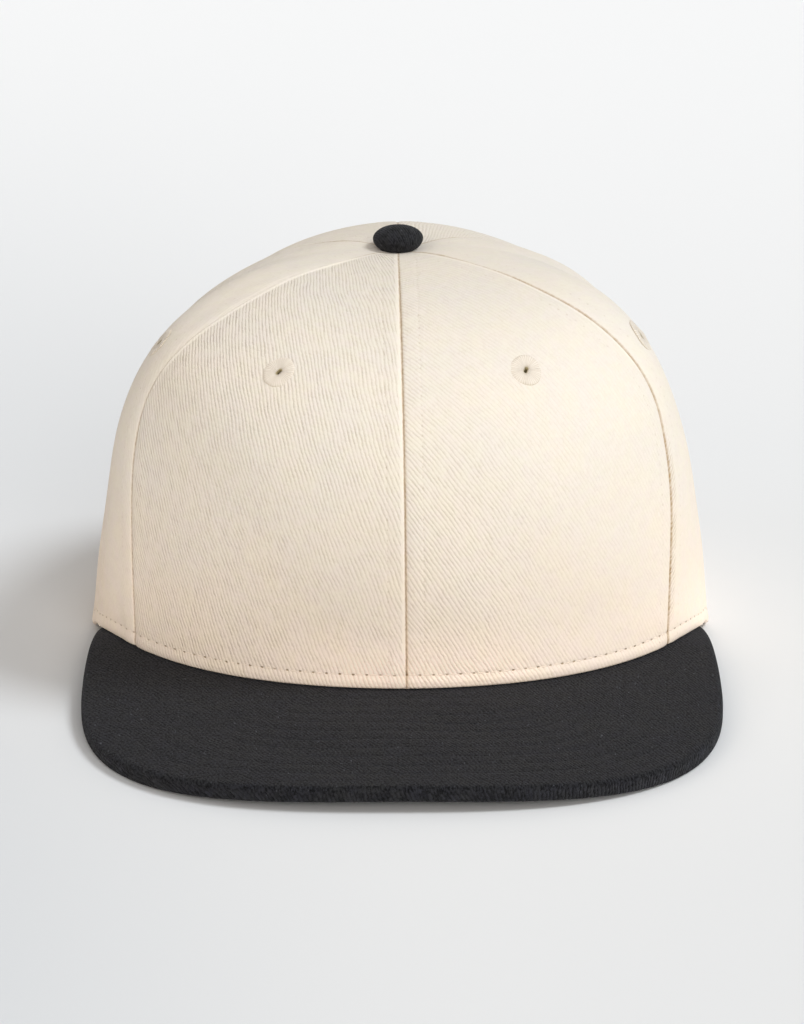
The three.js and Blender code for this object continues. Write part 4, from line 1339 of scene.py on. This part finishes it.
def make_bill(material, sewing):
    """The bill: lines from the root to the outer edge, over the edge in a rounded profile and back
    underneath. The edge's profile is two quarter circles with a flat band between them."""
    rows, columns = BILL_GRID
    place = even_places(bill_outline, columns)
    edge = bill_outline(place)
    root = inset_base(place * BILL_TIP_BEARING, CROWN_WALL + BAND_GAP + BAND_THICKNESS)
    outwards = np.stack([np.gradient(edge[:, 1]), -np.gradient(edge[:, 0])], -1)
    outwards *= -np.sign((outwards * (root - edge)).sum(-1, keepdims=True))
    outwards /= np.linalg.norm(outwards, axis=-1, keepdims=True)
    brink = edge - outwards * BILL_EDGE_ROUNDING
    share = np.linspace(0, 1, rows)[:, None, None]
    flat = mix(root, brink, share)
    outline = bill_outline(even_places(bill_outline, BILL_OUTLINE_STEPS))
    inwards = nearest_edge(flat.reshape(-1, 2), outline).reshape(rows, columns)
    height = bill_top(flat[..., 0], flat[..., 1])
    puff = bill_puff(inwards)
    top = np.concatenate([flat, (height + puff)[..., None]], -1)
    uneven = smooth(inwards, *BILL_SWELL_FROM) * smooth(flat[..., 1], *BILL_SWELL_AHEAD)
    top[..., 2] += swell(top, *BILL_SWELL) * uneven
    under = np.concatenate([flat, (height - BILL_THICKNESS - puff)[..., None]], -1)
    pushes, sinks = rounded_edge()
    rim = brink + outwards * pushes
    rim_height = bill_top(edge[:, 0], edge[:, 1]) - sinks + bill_puff(np.array(0.0))
    rim = np.concatenate([rim, rim_height[..., None]], -1)
    grid = np.concatenate([top, rim, under[::-1]])
    grid[..., 2] = np.maximum(grid[..., 2], 0.0)
    unrolled = steps_along(np.concatenate([top[-1:], rim]), 0)[1:]
    over = brink + outwards * unrolled[..., None]
    distance = np.concatenate([inwards, -unrolled + BILL_EDGE_ROUNDING, inwards[::-1]])
    total = len(grid)
    edge_along = np.broadcast_to(steps_along(edge[:, None], 0)[:, 0], (total, columns))
    bill_rows = np.stack([edge_along, distance], -1)
    faces = bill_faces(total, columns)
    cloth = np.concatenate([flat, over, flat[::-1]]).reshape(-1, 2)[faces]
    below = (faces >= (rows + len(rim)) * columns).any(1)
    cloth[below] *= [1, -1]
    maps = {"cloth": cloth.reshape(-1, 2), "bill_rows": bill_rows.reshape(-1, 2)[faces.ravel()]}
    piece = new_piece("bill_cover", grid.reshape(-1, 3), [faces], material, maps)
    settle(piece, "black_twill", "bill")
    sew_bill(outline, sewing)
    return piece


def sew_bill(outline, sewing):
    """Rows of stitches, each the outline moved inwards and cut off where it meets the crown."""
    ahead = np.gradient(outline, axis=0)
    ahead /= np.linalg.norm(ahead, axis=1, keepdims=True)
    inward = np.stack([-ahead[:, 1], ahead[:, 0]], -1)
    for number in range(BILL_ROWS):
        distance = BILL_FIRST_ROW + number * BILL_ROW_STEP
        line = outline + inward * distance
        reach = np.hypot(line[:, 0] / CROWN_HALF_WIDTH, (line[:, 1] - EARS_Y) / CROWN_FRONT)
        clear = nearest_edge(line, outline) > distance - 0.1
        line = line[clear & (reach > BILL_ROWS_END) & (line[:, 1] < TIP_Y)]
        height = bill_top(line[:, 0], line[:, 1])
        puff = bill_puff(np.array(distance))
        up = np.broadcast_to(np.array([0.0, 0.0, 1.0]), (len(line), 3))
        sewing["bill"].append((np.column_stack([line, height + puff]), up, BILL_PITCH))
        bottom = height - BILL_THICKNESS - puff
        sewing["bill"].append((np.column_stack([line, bottom])[::-1], -up, BILL_PITCH))


def make_band(material):
    """The sweatband: a ribbon set in from the wall, closed round. Its inner face stands off by the
    band's thickness, a bell at the rolled upper edge, a furrow under it and small rucks lower down."""
    columns = BAND_COLUMNS
    bearing = np.linspace(-180, 180, columns, endpoint=False)
    power = tabled(ROUNDNESS, np.abs(bearing))
    foot = crown_point(bearing, np.zeros(columns))[:, 2]
    plain = np.linspace(0, BAND_PLAIN_WIDTH, BAND_ROWS)
    heights = np.concatenate([plain, BAND_WIDTH - np.array([0.9, 0.4, 0.1])])
    rise = heights[:, None] / (CROWN_TOP - foot)
    climb = np.arctan2(rise, (1 - rise**power) ** (1 / power)) / (math.pi / 2)
    surface = crown_point(bearing + 0.0 * climb, climb)
    normals = crown_normal(bearing + 0.0 * climb, climb)
    taper = np.concatenate([np.zeros(BAND_ROWS), [0.1, 0.25, 0.5]])[:, None]
    rucks = BAND_RUCKS * np.sin(np.radians(bearing) * 37 + 2 * np.sin(np.radians(bearing) * 5))
    rucks = rucks * bell(heights[:, None], 12, 12)
    roll = BAND_ROLL * bell(heights[:, None], BAND_WIDTH - 1.2, 1.0)
    furrow = BAND_FURROW * bell(heights[:, None], BAND_WIDTH - 3.2, 0.6)
    near = CROWN_WALL + BAND_GAP + taper * BAND_THICKNESS
    far = CROWN_WALL + BAND_GAP + BAND_THICKNESS * (1 - taper) + roll
    far = far + rucks - furrow
    outer = leaned(surface - normals * near[..., None])
    inner = leaned(surface - normals * far[..., None])
    behind = BAND_ABOVE_RIM * smooth(np.abs(bearing), DROP_BEARING, GROUND_BEARING)
    for wall in (outer, inner):
        floor = base_height(bearing, wall[..., 0], wall[..., 1]) + behind
        wall[0, :, 2] = floor[0]
    grid = np.concatenate([outer, inner[::-1]])
    rows = len(grid)
    cells = np.arange(rows * columns).reshape(rows, columns)
    cells = np.concatenate([cells, cells[:1]], 0)
    quads = grid_quads(np.concatenate([cells, cells[:, :1]], 1))
    along = steps_along(surface[:1], 1)[0]
    length = float(along[-1] + along[1])
    level = np.concatenate([heights, heights[::-1]])
    cloth = np.stack(np.broadcast_arrays(along[None], level[:, None]), -1)
    cloth = cloth.reshape(-1, 2)[quads]
    at_column = quads % columns
    wrapped = at_column.max(1) - at_column.min(1) > columns // 2
    cloth[wrapped, :, 0] += (at_column[wrapped] == 0) * length
    maps = {"cloth": cloth.reshape(-1, 2)}
    piece = new_piece("sweatband_ribbon", grid.reshape(-1, 3), [quads], material, maps)
    settle(piece, "band_cotton", "sweatband")
    return piece


def aim(obj, place, target):
    """Turns an object at a place, in millimetres, so that its -Z looks at the target."""
    place = np.array(place, float)
    back = place - np.array(target, float)
    back /= np.linalg.norm(back)
    right = np.cross([0, 0, 1], back)
    right /= np.linalg.norm(right)
    up = np.cross(back, right)
    matrix = np.eye(4)
    matrix[:3] = np.column_stack([right, up, back, place * MM])
    obj.matrix_world = Matrix(matrix.tolist())


def towards(side_angle, height_angle):
    """A step of length one from the cap: round from the front by one angle, and up by the other."""
    around = math.radians(side_angle)
    rise = math.radians(height_angle)
    return np.array([math.sin(around) * math.cos(rise), -math.cos(around) * math.cos(rise), math.sin(rise)])


def make_camera():
    """The photograph's camera: a long lens, a little above the cap."""
    data = bpy.data.cameras.new("camera")
    data.lens = CAMERA_LENS
    data.sensor_width = CAMERA_SENSOR
    data.clip_end = 100
    camera = bpy.data.objects.new("camera", data)
    bpy.context.scene.collection.objects.link(camera)
    back = towards(CAMERA_YAW, CAMERA_ELEVATION)
    aim(camera, np.array(CAMERA_TARGET) + back * CAMERA_DISTANCE, CAMERA_TARGET)
    bpy.context.scene.camera = camera


def far_light(name, side_angle, height_angle, strength, softness, colour):
    """A light so far off that it is even everywhere. side_angle is measured round from the camera
    to its right, height_angle up from the floor, and softness is how wide the light looks."""
    data = bpy.data.lights.new(name, "SUN")
    data.energy = strength
    data.angle = math.radians(softness)
    data.color = colour
    light = bpy.data.objects.new(name, data)
    bpy.context.scene.collection.objects.link(light)
    aim(light, towards(side_angle, height_angle) * LIGHT_DISTANCE, (0, 0, 0))


def studio_floor():
    """A wide pale floor, painted darker near on the left, a painted shadow tinted a little blue against
    the warm light there, and painted lighter far away, a painted falloff of the light.
    """
    corners = np.array([(-1, -1), (1, -1), (1, 1), (-1, 1)]) * FLOOR_HALF_WIDTH
    points = np.column_stack([corners, np.full(4, FLOOR_LEVEL)])
    material, tree, shader = start_material("studio_floor", 0.9, 0.0, (1, 1, 1, 1))
    x, y = numbers(tree, object_place(tree))[:2]
    near = blend(tree, "MIX", eased(tree, x, *FLOOR_SIDES), FLOOR_NEAR_LEFT_SHADOW, FLOOR_NEAR)
    colour = blend(tree, "MIX", eased(tree, y, *FLOOR_DEPTHS), near, FLOOR_FAR)
    tree.links.new(colour, shader.inputs["Base Color"])
    new_piece("studio_floor", points, [np.array([[0, 1, 2, 3]])], material)


def make_studio():
    """The floor, a soft key light on the right, weak ones on the left and in front, and light from
    all round that is brighter near the horizon."""
    studio_floor()
    world = bpy.data.worlds.new("studio")
    bpy.context.scene.world = world
    world.use_nodes = True
    tree = world.node_tree
    way = numbers(tree, node(tree, "ShaderNodeTexCoord").outputs["Generated"])
    low = eased(tree, way[2], *WORLD_RISE)
    side = eased(tree, way[0], *WORLD_SIDES)
    tint = blend(tree, "MIX", side, WORLD_LEFT, WORLD_RIGHT)
    background = tree.nodes["Background"]
    tree.links.new(tint, background.inputs["Color"])
    strength = calc(tree, "MULTIPLY_ADD", low, WORLD_HORIZON - WORLD_ZENITH, WORLD_ZENITH)
    tree.links.new(strength, background.inputs["Strength"])
    for name, values in LIGHTS.items():
        far_light(name, *values)
    view = bpy.context.scene.view_settings
    view.view_transform = "Standard"
    view.look = "None"


# In the looks, foot is painted light near the ground, and deep is the colour of the painted shade
NATURAL = {
    "roughness": 0.94, "sheen": 0.1, "sheen_tint": (1.0, 0.96, 0.9, 1), "specular": 0.2,
    "cool": (0.762, 0.707, 0.632, 1), "warm": (0.783, 0.716, 0.62, 1), "deep": (0.41, 0.275, 0.14, 1),
    "blotch": (1.0, 0.985, 0.985, 1), "other_blotch": (1.0, 1.0, 0.965, 1), "foot": (1.2, 1.115, 1.055, 1),
    "pitch": 1.1, "wander": 0.42, "valley": 0.15, "yarn": 0.04, "bump": 0.12,
    "heather": 0.02, "heather_scale": 0.9, "heather_stretch": (1, 1, 1),
    "pucker_shade": 0.38, "seam_dark": 0.66, "lip_painted_light": (1.06, 1.06, 1.06, 1),
    "hem_painted_light": (1.19, 1.16, 1.17, 1),
}
BLACK = {
    "roughness": 0.95, "sheen": 0.05, "sheen_tint": (0.8, 0.8, 0.85, 1), "specular": 0.15,
    "cool": (0.0174, 0.0174, 0.0202, 1), "warm": (0.0188, 0.0188, 0.0202, 1),
    "deep": (0.0012, 0.0012, 0.0016, 1),
    "blotch": (0.98, 0.98, 1.05, 1), "other_blotch": (1.02, 1.02, 0.98, 1), "foot": (1, 1, 1, 1),
    "pitch": 1.05, "wander": 0.9, "valley": 0.14, "yarn": 0.6, "bump": 0.16,
    "edge_ridges": 3.8, "edge_painted_light": (1.5, 1.5, 1.5, 1),
    "heather": 1.15, "heather_scale": 1.5, "heather_stretch": (1.15, 0.6, 1),
    "pale": (0.13, 0.135, 0.155, 1), "flecks": 0.5, "fleck_scale": 0.95, "fleck_rarity": 0.65,
}

GROUPS = {
    "twill": twill_group(), "stitch": stitch_group(), "lint": lint_group(), "pucker": pucker_group(),
    "seam": seam_shadow_group(),
}

make_camera()
make_studio()

seam_line = {
    "map": "seam_rows", "line": SEAM_ROW, "pitch": SEAM_PITCH, "hole": 0.24, "furrow": 0.55, "stretch": 1.5,
    "faint": 0.25, "dark": 0.22, "depth": 0.6, "drawn": 0.3,
}
hem_line = {
    "map": "hem_rows", "line": HEM_ROW, "pitch": HEM_PITCH, "hole": 0.3, "furrow": 0.5, "stretch": 1.6,
    "faint": 0.55, "dark": 0.8, "depth": 2.0, "drawn": 0.1,
}
natural_twill = twill_material("natural_twill", NATURAL, [seam_line, hem_line], seamed=True)
button_look = {
    **BLACK, "cool": (0.0235, 0.0237, 0.0265, 1), "warm": (0.025, 0.025, 0.0265, 1),
    "pitch": 0.7, "valley": 0.5, "heather": 0.3, "wander": 0.4,
}
black_twill = twill_material("black_twill", button_look, [])
bill_lines = [
    {
        "map": "bill_rows", "line": BILL_FIRST_ROW + number * BILL_ROW_STEP, "pitch": BILL_PITCH,
        "hole": 0.24, "furrow": 0.5, "stretch": 1.5, "faint": 0.3, "dark": 0.2, "depth": 0.5, "drawn": 0.6,
    }
    for number in range(BILL_ROWS)
]
bill_twill = twill_material("bill_twill", BLACK, bill_lines, bound=True)
natural_thread = thread_material(
    "natural_thread", (0.79, 0.71, 0.61, 1), (0.73, 0.65, 0.54, 1), NATURAL["foot"],
)
black_thread = thread_material(
    "black_thread", (0.022, 0.023, 0.026, 1), (0.01, 0.01, 0.012, 1), BLACK["foot"],
)
eyelet_satin = satin_material(
    "eyelet_satin", (0.79, 0.715, 0.615, 1), (0.65, 0.56, 0.45, 1), (0.42, 0.34, 0.17, 1),
)
band_cotton = plain_weave_material("band_cotton", (0.76, 0.69, 0.56, 1), (0.50, 0.43, 0.31, 1))

sewing = {"seams": [], "hem": [], "bill": []}
for side, side_name in ((1, "left"), (-1, "right")):
    for place in PANELS:
        make_panel(place, side, side_name, natural_twill, sewing)
        make_eyelet(place, side, side_name, eyelet_satin)
make_button(black_twill)
make_bill(bill_twill, sewing)
make_band(band_cotton)

for number, (name, material, slot, sunk) in enumerate((
    ("seams", natural_thread, "natural_thread", 0.75),
    ("hem", natural_thread, "natural_thread", 0.3),
    ("bill", black_thread, "black_twill", 0.3),
)):
    groups = [
        bent_stitches(points, normals, pitch, sunk, 100 * number + row)
        for row, (points, normals, pitch) in enumerate(sewing[name])
    ]
    settle(stitches_piece(f"{name}_stitches", groups, material), slot)
